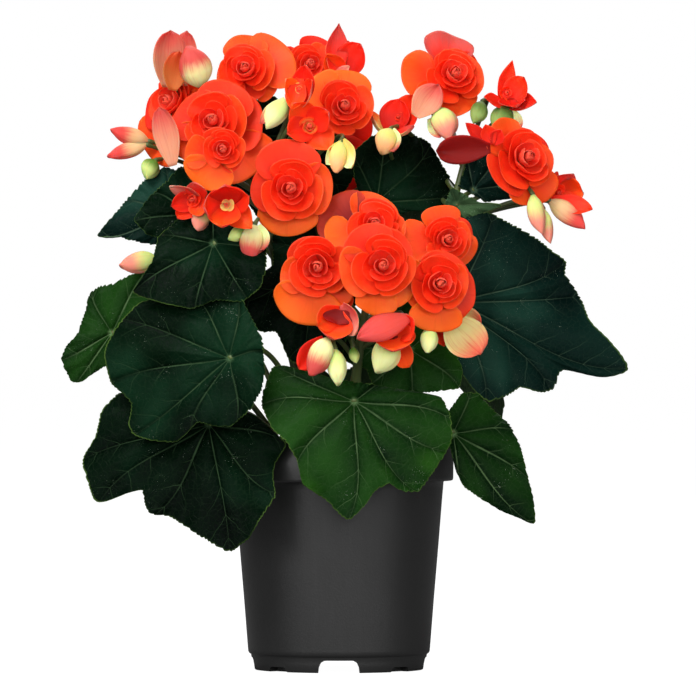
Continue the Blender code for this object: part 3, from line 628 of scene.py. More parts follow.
def toothed(reach, angles, rng):
    """The outline with small uneven saw teeth."""
    arc = np.concatenate([[0], np.cumsum(np.hypot(np.diff(reach), np.diff(angles) * reach[:-1]))])
    teeth = max(6, round(arc[-1] / TOOTH))
    phase = arc / arc[-1] * teeth + 0.6 * np.sin(arc * 0.31) + rng.uniform(0, 1)
    slow = np.sin(phase * 0.37 + 1.0) * 0.25 + np.sin(phase * 0.11) * 0.2
    saw = (phase % 1.0) ** 1.6
    return reach - 0.4 + (0.8 + slow) * (0.45 - saw)


def relief(angles, radius, off, between, share, size, ripple):
    """Height of a ring of the blade: grooves along the veins, puffs between, a wavy frilled edge."""
    groove = -1.3 * np.exp(-(off / 1.3) ** 2) * (1 - 0.7 * share)
    near = np.abs((radius - SIDE_VEIN_SLANT * off) / SIDE_VEIN_GAP % 1.0 - 0.5)
    fade = np.clip((radius - 8) / 8, 0, 1) * (1 - 0.7 * between * 2)
    groove -= 0.5 * np.exp(-(near / 0.09) ** 2) * fade
    puff = 2.6 * (1 - np.exp(-(off / 7.0) ** 2)) * (1 - share ** 3)
    puff *= 1 + 0.4 * np.sin(angles * 2.3 + ripple[3])
    wave = 2.2 * np.sin(3 * angles + ripple[0]) + 1.6 * np.sin(5 * angles + ripple[1])
    wave *= min(1.0, size / 60)
    frill = 1.0 * np.sin(angles * 13 + ripple[2]) * share ** 4
    frill += 0.5 * np.sin(angles * 29 + ripple[3]) * share ** 6
    hub_dip = 0.9 + 1.8 * np.exp(-(radius / 5.0) ** 2)
    return groove + puff + wave * share ** 2 + frill - hub_dip


def joined(rings):
    """One row for the hub, then every ring; and the same again for the lower side."""
    rings = np.array(rings)
    side = np.concatenate([rings[0, :1], rings[1:].reshape(-1, *rings.shape[2:])])
    return np.concatenate([side, side])


def blade_normals(top):
    normal = grid_normals(np.concatenate([top, top[:, :1]], axis=1))[:, :-1]
    normal[0] = normal[1].mean(axis=0)
    normal /= np.linalg.norm(normal, axis=2, keepdims=True)
    return -normal if normal[..., 2].mean() < 0 else normal


def blade_faces(rings, count):
    """Faces of both sides and the rim, for a hub and rings of this many points."""
    half = 1 + (rings - 1) * count
    faces = []
    for j in range(count):
        k = (j + 1) % count
        faces.append((0, 1 + j, 1 + k))
        faces.append((half, half + 1 + k, half + 1 + j))
        for i in range(rings - 2):
            a, b = 1 + i * count + j, 1 + i * count + k
            c, d = a + count, b + count
            faces.append((a, c, d, b))
            faces.append((half + a, half + b, half + d, half + c))
        rim = 1 + (rings - 2) * count
        faces.append((rim + j, half + rim + j, half + rim + k, rim + k))
    return faces


def build_leaf(name, leaf, seed):
    rng = np.random.default_rng(seed)
    size = max(math.hypot(*p) for p in leaf["outline"])
    ends = sorted(math.atan2(z, x) % FULL_TURN for x, z in leaf["veins"])
    angles, between, spans = leaf_rays(ends, size)
    reach = soften(reach_of(leaf["outline"], angles % FULL_TURN), angles, 0.035)
    rim = toothed(reach, angles, rng)
    shares = [*np.linspace(0.0, 0.93, LEAF_RINGS - 4) ** 0.92, 0.95, 0.972, 0.99, 1.0]
    kinks = rng.uniform(-0.13, 0.13, len(ends))
    kink = np.interp(angles, ends + [ends[0] + FULL_TURN], [*kinks, kinks[0]])
    ripple = rng.uniform(0, 6.28, 4)
    top = []
    rings = {key: [] for key in ("vein_off", "vein_along", "vein_gap", "edge", "flat")}
    for share in shares:
        radius = (reach * (1 - share ** 6) + rim * share ** 6) * share
        turned = angles + kink * 4 * share * (1 - share)
        x, z = radius * np.cos(turned), radius * np.sin(turned)
        off = between * spans * radius
        out = -leaf["turn"] * x - leaf["lean"] * z - leaf["bend"] * (radius / size) ** 2
        out += relief(angles, radius, off, between, share, size, ripple)
        top.append(np.stack([x, z, out], axis=1))
        flat = np.stack([x, z, np.full(len(angles), seed * 7.0)], axis=1)
        row = (off, radius, 0.5 * spans * radius, np.full(len(angles), share), flat)
        for ring, values in zip(rings.values(), row):
            ring.append(values)
    top = np.array(top)
    verts = joined(top)
    half = len(verts) // 2
    verts[half:] = joined(top - blade_normals(top) * LEAF_THICKNESS)[half:]
    values = {key: joined(ring) for key, ring in rings.items()}
    values["under"] = np.arange(2 * half) >= half
    frame_of_leaf = facing(leaf.get("faces", 0))
    hub = np.asarray(leaf["hub"], float)
    blade_piece = make_mesh(name + "_blade", hub + verts @ frame_of_leaf.T,
                            blade_faces(len(shares), len(angles)), values, MATS[leaf["green"]])
    place_piece(blade_piece, name, leaf["green"])

    via = np.asarray(leaf["via"], float)
    inside = hub + frame_of_leaf @ np.array([0, 0, 1.0]) * (-3.1 - LEAF_THICKNESS)
    line = bezier([leaf["start"], via, via * 0.4 + inside * 0.6, inside], 26)
    radii = taper(LEAF_STALK_RADII, len(line))
    radii[-3:] *= (1.05, 1.15, 1.3)
    verts, faces, share = tube(line, radii)
    stalk = make_mesh(name + "_stalk", verts, faces, {"along": share}, MATS["stem"])
    place_piece(stalk, name, "stem")


# ---------------------------------------------------------------- flowers

DEEP = (0.52, 0.009, 0.004)
RED = (0.78, 0.018, 0.007)
HEART = (0.80, 0.075, 0.045)
SCARLET = (0.88, 0.033, 0.007)
ORANGE = (0.93, 0.072, 0.008)
AMBER = (0.97, 0.112, 0.008)
PINK = (0.528, 0.066, 0.056)
BLUSH = (0.702, 0.229, 0.167)
CREAM = (0.72, 0.74, 0.34)
YELLOW = (0.85, 0.52, 0.13)
SALMON = (0.72, 0.30, 0.17)
LIME = (0.52, 0.62, 0.20)
GREEN = (0.10, 0.22, 0.03)
# A very dark red that paints shade on petal faces that lie in shade.
PAINTED_SHADE_RED = (0.17, 0.006, 0.005)

# Front base, front tip, back base, back tip.
STYLES = {
    "red": (DEEP, RED, SALMON, PINK),
    "scarlet": (RED, SCARLET, SALMON, PINK),
    "orange": (SCARLET, ORANGE, SALMON, PINK),
    "amber": (ORANGE, AMBER, SALMON, BLUSH),
    # A petal in shade, painted as a darker copy of the red front: painted shade.
    "painted_shade": (PAINTED_SHADE_RED, (0.40, 0.026, 0.010), CREAM, PINK),
    # For flowers that face away: their backs are dark red instead of the paler petal backs, painted
    # shade behind the front flowers.
    "rear": (SCARLET, ORANGE, DEEP, RED),
    "pink": (RED, PINK, CREAM, PINK),
    "blush": (PINK, BLUSH, CREAM, BLUSH),
    "cream": (CREAM, YELLOW, LIME, CREAM),
    "rimmed": (YELLOW, ORANGE, LIME, BLUSH),
    "lime": (GREEN, LIME, GREEN, LIME),
    "bud": (LIME, CREAM, LIME, BLUSH),
    "bud_red": (CREAM, ORANGE, PINK, ORANGE),
    "pale": (LIME, CREAM, LIME, CREAM),
    "straw": (YELLOW, CREAM, (0.56, 0.56, 0.16), (0.84, 0.42, 0.18)),
    "rosy": (RED, SCARLET, (0.78, 0.52, 0.26), (0.62, 0.060, 0.050)),
    "back": (CREAM, PINK, CREAM, PINK),
    "dusk": ((0.42, 0.10, 0.02), (0.52, 0.060, 0.016), CREAM, PINK),
    "flush": ((0.62, 0.24, 0.14), PINK, CREAM, PINK),
    "olive": (GREEN, LIME, (0.09, 0.15, 0.03), (0.24, 0.34, 0.09)),
    # A petal all in very dark red: painted shade, a dark sheet behind a cup or the shaded face of a
    # petal.
    "painted_shade_dark": (PAINTED_SHADE_RED, PAINTED_SHADE_RED, PAINTED_SHADE_RED, DEEP),
    "heart": (RED, HEART, RED, HEART),
    "rind": ((0.84, 0.62, 0.26), (0.74, 0.10, 0.06), CREAM, BLUSH),
    "rose": (DEEP, RED, (0.60, 0.060, 0.045), (0.58, 0.050, 0.045)),
}


def blend(a, b, share):
    return tuple(p + (q - p) * share for p, q in zip(a, b))


# A bloom: middle, (azimuth, elevation), width, core share, core shift, roll, stem and guard
# petals as (direction, reach over half the width, half angle, end slope, style, corner).
BLOOMS = {
    "bloom_left_front": (
        (-27, -62, 271), (0, 4), 48, 0.64, (0.0, -0.02), 10, "left",
        [(95, 1.15, 64, 84, "scarlet", 0.26), (2, 1.0, 56, 86, "orange", 0.3),
         (180, 0.92, 56, 84, "scarlet", 0.3), (264, 1.08, 56, 100, "amber", 0.10)]),
    "bloom_left_large": (
        (-71, -36, 308), (-10, 12), 52, 0.60, (0.0, 0.06), 40, "left",
        [(72, 1.04, 60, 84, "scarlet", 0.3), (150, 0.96, 62, 80, "scarlet", 0.3),
         (222, 0.98, 58, 86, "orange", 0.3), (5, 1.05, 52, 88, "scarlet", 0.3),
         (313, 1.36, 44, 98, "orange", 0.3)]),
    "bloom_left_top": (
        (-52, -10, 340), (-6, 20), 43, 0.64, (-0.06, 0.0), 20, "left",
        [(30, 1.26, 64, 98, "orange", 0.2), (98, 1.12, 50, 92, "orange", 0.3),
         (185, 0.84, 60, 78, "orange", 0.3), (262, 0.80, 62, 80, "scarlet", 0.3),
         (318, 0.9, 34, 90, "orange", 0.4)]),
    "bloom_left_crown": (
        (2, -26, 320), (4, 10), 40, 0.70, (0.06, -0.1), 35, "left",
        [(148, 1.18, 56, 96, "amber", 0.22), (75, 1.06, 58, 94, "amber", 0.22),
         (350, 0.88, 52, 80, "orange", 0.3), (250, 0.86, 60, 78, "scarlet", 0.3)]),
    "bloom_left_small": (
        (-69, -68, 290), (-6, -4), 36, 0.56, (0.26, 0.12), 0, "left",
        [(248, 1.18, 64, 90, "amber", 0.18), (178, 0.98, 50, 82, "orange", 0.3),
         (345, 0.86, 52, 78, "scarlet", 0.3), (80, 0.78, 60, 72, "scarlet", 0.3)]),
    "bloom_left_side": (
        (-98, -6, 314), (-38, 12), 46, 0.60, (0.02, 0.34), 15, "left",
        [(60, 1.04, 58, 84, "orange", 0.3), (150, 0.98, 60, 76, "red", 0.3),
         (228, 1.22, 62, 88, "orange", 0.2), (300, 1.0, 46, 70, "orange", 0.25)]),
    "bloom_top_rear": (
        (-16, 6, 343), (4, 14), 38, 0.62, (0.0, 0.0), 50, "left",
        [(60, 1.0, 60, 84, "red", 0.3), (180, 1.0, 60, 84, "red", 0.3),
         (285, 1.5, 62, 92, "red", 0.3)]),
    "bloom_middle_left": (
        (-14, -82, 221), (-6, -4), 45, 0.66, (0.10, 0.24), 25, "middle",
        [(250, 1.24, 62, 96, "amber", 0.12), (180, 0.86, 50, 86, "orange", 0.3),
         (100, 0.98, 58, 80, "scarlet", 0.3), (345, 1.05, 50, 84, "orange", 0.3),
         (300, 1.15, 40, 90, "scarlet", 0.3)]),
    "bloom_middle": (
        (23, -94, 228), (4, 2), 47, 0.64, (0.06, -0.03), 5, "middle",
        [(118, 1.0, 60, 88, "scarlet", 0.26), (196, 0.98, 56, 84, "orange", 0.28),
         (48, 0.90, 56, 86, "scarlet", 0.3), (266, 1.18, 34, 98, "amber", 0.12),
         (322, 1.10, 50, 96, "amber", 0.2)]),
    "bloom_middle_right": (
        (58, -84, 214), (14, 0), 43, 0.66, (-0.08, 0.16), 30, "middle",
        [(262, 1.12, 52, 96, "amber", 0.14), (76, 1.0, 62, 86, "scarlet", 0.28),
         (350, 0.98, 56, 86, "scarlet", 0.3), (178, 0.90, 54, 84, "orange", 0.3),
         (310, 0.98, 44, 86, "orange", 0.3)]),
    "bloom_middle_upper": (
        (12, -62, 250), (-4, 16), 46, 0.60, (0.36, 0.04), 12, "middle",
        [(196, 0.90, 52, 92, "amber", 0.18), (140, 1.14, 60, 96, "painted_shade", 0.22),
         (62, 1.02, 56, 84, "orange", 0.3), (10, 1.0, 54, 84, "orange", 0.3)]),
    "bloom_right_inner": (
        (61, -60, 243), (14, 6), 34, 0.70, (0.0, -0.05), 42, "middle",
        [(182, 1.50, 38, 94, "orange", 0.16), (98, 1.16, 50, 88, "orange", 0.26),
         (20, 0.98, 50, 86, "scarlet", 0.3), (330, 1.12, 48, 88, "orange", 0.3)]),
    "bloom_right_top": (
        (62, -12, 338), (12, 24), 46, 0.64, (0.16, -0.06), 22, "right",
        [(79, 1.28, 40, 98, "pink", 0.12), (166, 1.12, 50, 96, "orange", 0.22),
         (226, 0.9, 40, 80, "orange", 0.3), (290, 1.02, 50, 82, "orange", 0.3),
         (20, 1.0, 44, 76, "red", 0.3)]),
    "bloom_right_side": (
        (106, -30, 289), (30, 16), 46, 0.68, (0.0, 0.0), 8, "right",
        [(122, 1.14, 46, 82, "orange", 0.24), (215, 1.0, 60, 76, "scarlet", 0.3),
         (292, 1.16, 58, 90, "orange", 0.2), (40, 1.0, 56, 86, "red", 0.3)]),
    "bloom_back_left": (
        (-52, 62, 300), (200, 18), 46, 0.64, (0.0, 0.0), 16, "back",
        [(90, 1.02, 60, 84, "rear", 0.3), (190, 1.0, 60, 84, "rear", 0.3),
         (262, 1.1, 54, 94, "rear", 0.2), (350, 1.0, 56, 84, "rear", 0.3)]),
    "bloom_back_centre": (
        (-4, 74, 310), (180, 14), 48, 0.64, (0.0, 0.04), 28, "back",
        [(60, 1.0, 60, 84, "rear", 0.3), (150, 1.02, 60, 84, "rear", 0.3),
         (255, 1.1, 60, 94, "rear", 0.2), (340, 1.0, 56, 86, "rear", 0.3)]),
    "bloom_back_right": (
        (36, 62, 286), (168, 16), 44, 0.66, (0.0, 0.0), 5, "back",
        [(110, 1.04, 60, 84, "rear", 0.3), (215, 1.0, 60, 88, "rear", 0.22),
         (315, 1.02, 60, 84, "rear", 0.3)]),
    "bloom_back_low": (
        (20, 85, 268), (176, 0), 42, 0.62, (0.0, 0.0), 45, "back",
        [(80, 1.0, 60, 80, "rear", 0.3), (185, 1.0, 60, 84, "rear", 0.3),
         (270, 1.12, 60, 94, "rear", 0.18), (0, 0.98, 54, 82, "rear", 0.3)]),
}

# A half-open flower: middle, (azimuth, elevation), width, heart petals (count, radius over half
# the width, style), stem, colour and outer petals as (base, tip, width, face, bulge, cup,
# point, style) with lengths in mm from the middle: right, up and out.
CUPS = {
    "cup_left_mid": (
        (-16, -50, 306), (4, 4), 26, (6, 0.52, "rimmed"), "left", "orange",
        [((1, 0, -9), (-10, 12, 2), 17, (0.3, -0.3, 1), 0.1, 0.3, 0.7, "orange"),
         ((-1, 0, -9), (10, 7, 4), 16, (-0.5, -0.3, 1), 0.12, 0.35, 0.5, "scarlet"),
         ((0, 2, -9), (11, -14, 1), 17, (-0.3, 0.5, 1), 0.1, 0.3, 0.8, "orange"),
         ((2, 1, -9), (-13, -5, 3), 16, (0.5, 0.3, 1), 0.12, 0.4, 0.4, "scarlet")]),
    "cup_left_low": (
        (-62, -76, 261), (6, -4), 27, (4, 0.36, "cream"), "left", "cream",
        [((1, 0, -10), (-13, -1, 4), 18, (0.7, 0, 1), 0.16, 0.42, 0.2, "scarlet"),
         ((0, -1, -10), (-1, 11, 3), 19, (0, -0.6, 1), 0.14, 0.4, 0.3, "red"),
         ((-1, 0, -10), (12, 5, 2), 16, (-0.6, -0.3, 1), 0.14, 0.4, 0.4, "scarlet"),
         ((-1, 2, -10), (14, -13, 0), 15, (-0.5, 0.6, 1), 0.1, 0.35, 0.9, "orange"),
         ((0, 2, -10), (-3, -12, 4), 19, (0, 0.8, 1), 0.16, 0.42, 0.2, "orange")]),
    "cup_far_left": (
        (-83, -60, 264), (-20, -5), 21, (5, 0.55, "scarlet"), "left", "orange",
        [((3, 0, -8), (-11, 8, 2), 12, (0.2, -0.9, 0.6), 0.08, 0.3, 0.5, "blush"),
         ((3, 0, -8), (3, 10, 1), 13, (0, -0.5, 1), 0.1, 0.35, 0.5, "pink"),
         ((3, 1, -8), (-10, -3, 3), 12, (0.6, 0.2, 1), 0.12, 0.4, 0.5, "red"),
         ((3, 1, -8), (-7, -10, 2), 12, (0.4, 0.7, 1), 0.12, 0.4, 0.4, "scarlet"),
         ((2, 1, -8), (6, -9, 1), 12, (0, 0.8, 1), 0.12, 0.4, 0.4, "orange")]),
    "cup_top": (
        (2, 0, 346), (0, 0), 23, (4, 0.4, "red"), "left", "orange",
        [((-4, -11, 1), (-2, 19.4, 3), 14, (0.35, 0, 1), 0.10, 0.42, 1.0, "pink"),
         ((-1, -11, 0), (10, 8, 4), 20, (-0.35, 0.25, 1), 0.12, 0.4, 0.35, "red"),
         ((0, -11, 0), (-9, 2, 6), 13, (-0.3, -0.2, 1), 0.2, 0.5, 0.8, "orange"),
         ((-1, -11, -2), (3, 10, -7), 18, (0.1, 0.2, 1), 0.1, 0.4, 0.6, "red"),
         ((-6, -12, 3), (4, -5, 7), 7, (0, 0.6, 1), 0.1, 0.4, 0.6, "blush")]),
    "cup_crown": (
        (-23, -46, 327), (-14, 6), 20, (4, 0.4, "cream"), "left", "cream",
        [((1, -9, -6), (-6, 5, 3), 13, (1.0, 0, 0.7), 0.16, 0.5, 0.4, "amber"),
         ((1, -9, -6), (4, 13, 0), 15, (-0.3, -0.4, 1), 0.1, 0.4, 0.6, "red"),
         ((1, -10, -5), (9, 4, 4), 14, (-1.0, 0.1, 0.7), 0.14, 0.5, 0.4, "scarlet"),
         ((0, 6, -4), (-2, -13, 4), 12, (0.3, 0.9, 1), 0.14, 0.45, 0.8, "orange")]),
    "cup_right_cream": (
        (33, -12, 313), (-6, 8), 28, (3, 0.2, "scarlet"), "right", "cream",
        [((-3, -13, -5), (9, 12, -1), 24, (-0.75, 0.25, 1), 0.14, 0.4, 0.5, "scarlet"),
         ((-3, -13, -4), (-15, 2, 4), 16, (0.6, 0.9, 0.5), 0.16, 0.5, 0.7, "rimmed"),
         ((-4, -10, -4), (0, 10, -3), 18, (-0.1, 0.2, 1), 0.12, 0.35, 0.4, "red"),
         ((-5, -11, 0), (10, -7, 5), 11, (0, 0.9, 0.6), 0.18, 0.5, 0.4, "pink")]),
    "bloom_right_under": (
        (83, -34, 296), (0, 0), 20, (0, 0.3, "red"), "right", "deep",
        [((2, -2, -2), (-28.5, -4, 3), 17, (0, -0.3, 1), 0.08, 0.3, 0.1, "painted_shade_dark"),
         ((2, 0, -3), (-12, 12, 0), 8, (0.3, 0, 1), 0.1, 0.4, 0.8, "red"),
         ((3, 0, -3), (-1, 11, 0), 9, (0, 0, 1), 0.1, 0.4, 0.7, "scarlet"),
         ((4, 0, -3), (8, 8, 0), 9, (-0.3, 0, 1), 0.1, 0.4, 0.6, "red")]),
    "cup_low_red": (
        (-1, -88, 196), (0, -6), 24, (0, 0.34, "red"), "middle", "deep",
        [((2, 6, -8), (1, -2, -5), 19, (0, -0.2, 1), 0.1, 0.3, 0.2, "painted_shade_dark"),
         ((2, 6, -9), (-11, -2, 2), 15, (0.8, 0.1, 1), 0.18, 0.45, 0.3, "orange"),
         ((0, 5, -9), (-2, -9, 4), 20, (0.1, 0.9, 0.9), 0.22, 0.5, 0.2, "orange"),
         ((3, 9, -8), (10, -7, 3), 13, (-0.9, 0.2, 0.9), 0.18, 0.45, 0.3, "blush")]),
    "cup_low_centre": (
        (25, -88, 191), (0, 0), 30, (4, 0.26, "red"), "middle", "orange",
        [((4, 7, -8), (2, -5, -5), 22, (0, -0.2, 1), 0.1, 0.3, 0.2, "painted_shade_dark"),
         ((14, 8, -4), (-15, -4, 5), 17, (-0.1, -0.6, -1), 0.1, 0.3, 0.7, "rose"),
         ((6, 6, -7), (5, -11, 4), 24, (0, 0.9, 0.9), 0.2, 0.45, 0.25, "orange"),
         ((10, 8, -7), (15, -5, 3), 15, (-0.9, 0.1, 0.8), 0.15, 0.4, 0.4, "scarlet")]),
    "cup_low_right": (
        (67, -66, 188), (8, -10), 29, (0, 0.2, "blush"), "middle", "pink",
        [((-6, 9, -6), (12, -9, 4), 25, (0.2, 0.3, 1), 0.14, 0.34, 0.15, "rind"),
         ((-4, 10, -10), (13, 5, -5), 16, (-0.2, 0.2, 1), 0.14, 0.4, 0.2, "rind"),
         ((-8, 8, -9), (-8, -6, -3), 12, (0.2, 0.4, 1), 0.14, 0.4, 0.3, "scarlet")]),
    "cup_right_points": (
        (96, -10, 327), (10, 10), 30, (3, 0.34, "scarlet"), "right", "orange",
        [((-3, -6, -9), (3, 18, -2), 10, (0, -0.3, 1), 0.08, 0.45, 1.0, "scarlet"),
         ((0, -6, -9), (15, -7, 3), 15, (-0.3, 0.7, 1), 0.1, 0.42, 1.0, "red"),
         ((0, -6, -9), (-15, -4, 3), 10, (0.5, 0.5, 1), 0.1, 0.42, 1.0, "scarlet"),
         ((0, -6, -8), (9, 8, 0), 15, (-0.5, -0.1, 1), 0.12, 0.42, 0.4, "scarlet"),
         ((0, -3, -8), (3, -10, 4), 16, (0, 0.9, 0.8), 0.14, 0.42, 0.5, "red")]),
    "cup_right_low": (
        (126, -4, 270), (20, 6), 25, (4, 0.4, "scarlet"), "right", "pink",
        [((0, 0, -9), (-9, 6, 4), 19, (0.2, 0.1, 1), 0.16, 0.42, 0.4, "pink"),
         ((0, 0, -9), (7, 10, 2), 15, (-0.2, -0.4, 1), 0.12, 0.42, 0.8, "pink"),
         ((0, 0, -9), (12, -1, 3), 18, (-0.7, 0, 1), 0.14, 0.42, 0.2, "orange"),
         ((0, 2, -9), (2, -11, 5), 19, (-0.2, 0.8, 1), 0.16, 0.42, 0.2, "orange")]),
}

# Single petals that stand apart from their bloom: base, tip, width, face, point and style.
LOOSE = {
    "bloom_left_side": [((-93, -31, 284), (-101, -29, 317), 15, (-0.3, -1, 0.1), 0.25, "flush")],
    "bloom_right_top": [((43, -25, 312), (56, -20, 330), 17, (-0.2, -1, -0.2), 0.4, "flush")],
}

# A group of buds: its stem, colour and buds. A bud: base, tip, width, style, flatness, and any
# open petals beside it as (base, tip, width, face, point, style).
BUDS = {
    "buds_upper_left": ("left", "pink", [
        ((-92, -4, 331), (-92, -8, 352), 14, "back", 0.75,
         ((-97, -10, 329), (-95, -14, 361), 19, (0.3, -1, 0), 0.12, "flush"),
         ((-88, -6, 330), (-86, -9, 361), 15, (-0.4, -1, 0), 0.2, "flush")),
        ((-78, -14, 329), (-84, -20, 352), 18, "back", 0.8,
         ((-94, -17, 327), (-90, -19, 349), 15, (0.3, -1, 0.2), 0.3, "dusk"))]),
    "buds_far_left": ("left", "pink", [
        ((-108, 4, 299), (-129.5, -4, 304.5), 10, "rosy", 0.6),
        ((-109, 3, 297), (-131, -5, 290), 9, "rosy", 0.6)]),
    "bud_crown": ("left", "cream", [
        ((1, -46, 297), (-2, -52, 279), 11, "straw", 0.8,
         ((2, -46, 298), (7, -54, 282), 12, (-0.6, -1, 0), 0.4, "straw"),
         ((2, -46, 297), (-7, -54, 284), 9, (0.6, -1, 0), 0.5, "straw"))]),
    "buds_low_left": ("middle", "cream", [
        ((-6, -84, 187), (-15, -91, 165.5), 14, "back", 0.8,
         ((-8, -82, 187), (-22, -88, 170), 14, (0.5, -1, 0.3), 0.3, "rose")),
        ((-2, -82, 181), (0, -88, 161), 11, "pale", 0.8)]),
    "bud_low_right": ("middle", "cream", [
        ((30, -74, 187), (22, -82, 167.5), 16, "pale", 0.75,
         ((31, -74, 187), (39, -80, 171), 13, (-0.5, -1, 0), 0.2, "orange"))]),
}

# More buds, which are part of a stem's node.
SIDE_BUDS = {
    "left": [
        ((-47, -58, 250), (-50, -66, 229), 14, "back", 0.8,
         ((-45, -58, 250), (-42, -66, 236), 11, (-0.3, -1, 0.1), 0.2, "back")),
        ((-52, -58, 248), (-61, -64, 242), 8, "lime", 0.8),
        ((-74, -52, 259), (-80, -60, 247), 11, "bud", 0.8),
        ((-104, -1, 288), (-110, -7, 278), 11, "lime", 0.8),
        ((-29, -44, 320), (-42, -48, 305), 12, "pale", 0.8,
         ((-30, -44, 321), (-44, -50, 307), 9, (0.5, -1, 0.5), 0.7, "back")),
        ((-102, -30, 232), (-123, -34, 227), 12, "bud", 0.7),
    ],
    "middle": [
        ((51, -72, 193), (49, -78, 178.5), 10, "pale", 0.8),
        ((8, -72, 182), (9, -76, 173), 6, "lime", 0.8),
    ],
    "right": [
        ((56, -18, 317), (64, -26, 299), 15, "bud", 0.8,
         ((51, -18, 311), (57, -25, 300), 8, (0, -1, 0.2), 0.2, "back")),
        ((29, -18, 305), (24, -25, 291), 13, "straw", 0.8,
         ((30, -18, 305), (31, -26, 292), 11, (-0.5, -1, 0), 0.2, "back")),
        ((81, -6, 321), (77, -12, 308), 10, "olive", 0.8),
        ((96, -4, 318), (88, -10, 303), 14, "olive", 0.8,
         ((97, -6, 317), (102, -12, 305), 8, (0, -1, 0.2), 0.3, "back")),
        ((109, -26, 268), (113, -32, 245), 10, "bud", 0.8),
        ((115, -22, 260), (118, -28, 240), 8, "bud", 0.8),
        ((119, -10, 265), (140, -14, 250), 12, "rosy", 0.6,
         ((120, -10, 266), (143, -16, 260), 12, (0, -1, 0.4), 0.6, "rosy")),
    ],
    "back": [
        ((-20, 62, 288), (-26, 74, 272), 12, "bud", 0.8),
        ((34, 56, 280), (42, 70, 268), 12, "bud_red", 0.8),
    ],
}


def petal(foot, knee, brim, half_angle, at, corner, spiral, ruffle, seed,
          rows=14, cols=19, squareness=2.6, hollow=0.0):
    """A petal round the axis; foot, knee and brim are the radius and height of its curve."""
    s, t = np.meshgrid(np.linspace(0, 1, rows), np.linspace(-1, 1, cols), indexing="ij")
    blunt = 0.22 * np.clip((np.abs(t) - 0.72) / 0.28, 0, 1) ** 2
    used = np.clip(s * (1 - corner * np.abs(t) ** squareness - blunt), 0, 1)[..., None]
    foot, knee, brim = (np.asarray(p, float) for p in (foot, knee, brim))
    curve = foot * (1 - used) ** 2 + knee * 2 * used * (1 - used) + brim * used ** 2
    r, h = curve[..., 0], curve[..., 1]
    narrow = 0.45 + 0.55 * np.sin(np.clip(s * 1.35, 0, 1) * math.pi / 2)
    angle = math.radians(at) + math.radians(half_angle) * t * narrow
    length = np.linalg.norm(brim - foot)
    r = r * (1 + spiral * t * s)
    wave = np.sin(t * 4.2 + seed) * 0.6 + np.sin(t * 7.7 + 2.1 * seed) * 0.4
    h = h + ruffle * length * wave * s ** 2.5 + hollow * length * (t ** 2 - 0.4) * s ** 1.5
    r = r + 0.45 * ruffle * length * np.cos(t * 4.1 + seed) * s ** 2
    return np.stack([r * np.cos(angle), r * np.sin(angle), h], axis=2), s, t


def unit(vector):
    vector = np.asarray(vector, float)
    return vector / np.linalg.norm(vector)


def blade(base, tip, width, face, bulge, cup, point, seed, rows=15, cols=13):
    """A petal from base to tip, hollow towards the side that it faces."""
    base, tip = np.asarray(base, float), np.asarray(tip, float)
    length = np.linalg.norm(tip - base)
    axis = (tip - base) / length
    face = np.asarray(face, float)
    face = unit(face - axis * face.dot(axis))
    side = np.cross(face, axis)
    s, t = np.meshgrid(np.linspace(0, 1, rows), np.linspace(-1, 1, cols), indexing="ij")
    late = np.clip((s - 0.55) / 0.45, 0, 1)
    rounded = np.sqrt(np.clip(1 - late ** 2.4, 0, 1))
    pointed = 1 - late ** 1.5
    shape = np.where(s < 0.55, 0.32 + 0.68 * np.sin(math.pi / 2 * s / 0.55),
                     rounded * (1 - point) + pointed * point)
    half = width / 2 * np.maximum(shape, 0.03)
    wave = 0.05 * width * np.sin(t * 5 + seed) * s ** 2
    out = -bulge * length * 4 * s * (1 - s) + cup * half * t ** 2 + wave
    points = base + (axis * (length * s)[..., None] + side * (half * t)[..., None]
                     + face * out[..., None])
    return points, s, t


def pod(base, tip, width, flat, sides=28, rows=22):
    """A closed bud of two petals pressed together: points, faces, blush and share across."""
    base, tip = np.asarray(base, float), np.asarray(tip, float)
    length = np.linalg.norm(tip - base)
    axis = (tip - base) / length
    front = unit(np.array([0.2, -1.0, 0.1]) - axis * axis.dot([0.2, -1.0, 0.1]))
    side = np.cross(axis, front)
    s = np.linspace(0, 1, rows)
    round_ = np.interp(s, (0, 0.06, 0.18, 0.34, 0.55, 0.75, 0.9, 1.0),
                       (0.16, 0.42, 0.76, 0.97, 0.98, 0.80, 0.54, 0.26))
    round_ = np.convolve(np.pad(round_, 1, "edge"), (0.25, 0.5, 0.25), "valid")
    angle = np.linspace(0, FULL_TURN, sides, endpoint=False)
    grid_s, grid_a = np.meshgrid(s, angle, indexing="ij")
    across = (grid_a + 0.9) % math.pi
    seam = np.exp(-((across - 0.5) / 0.2) ** 2)
    ridge = np.exp(-((across - 1.2) / 0.5) ** 2)
    radius = width / 2 * round_[:, None] * (1 + 0.07 * ridge - 0.15 * seam * np.sin(math.pi * grid_s))
    slant = 0.07 * np.cos(grid_a - 0.6 - base[0]) * grid_s ** 3
    points = (base + axis * (length * (grid_s - 0.07 * grid_s ** 3 + slant))[..., None]
              + side * (radius * np.cos(grid_a))[..., None]
              + front * (flat * radius * np.sin(grid_a))[..., None])
    faces = []
    for i in range(rows - 1):
        for j in range(sides):
            k = (j + 1) % sides
            faces.append((i * sides + j, (i + 1) * sides + j, (i + 1) * sides + k, i * sides + k))
    last = (rows - 1) * sides
    faces.append(tuple(range(sides)))
    faces.append(tuple(range(last + sides - 1, last - 1, -1)))
    blush = np.clip(1.25 * grid_s + 0.35 * np.exp(-((across - 0.85) / 0.3) ** 2), 0, 1)
    return points.reshape(-1, 3), faces, blush.ravel(), np.sin(grid_a).ravel()


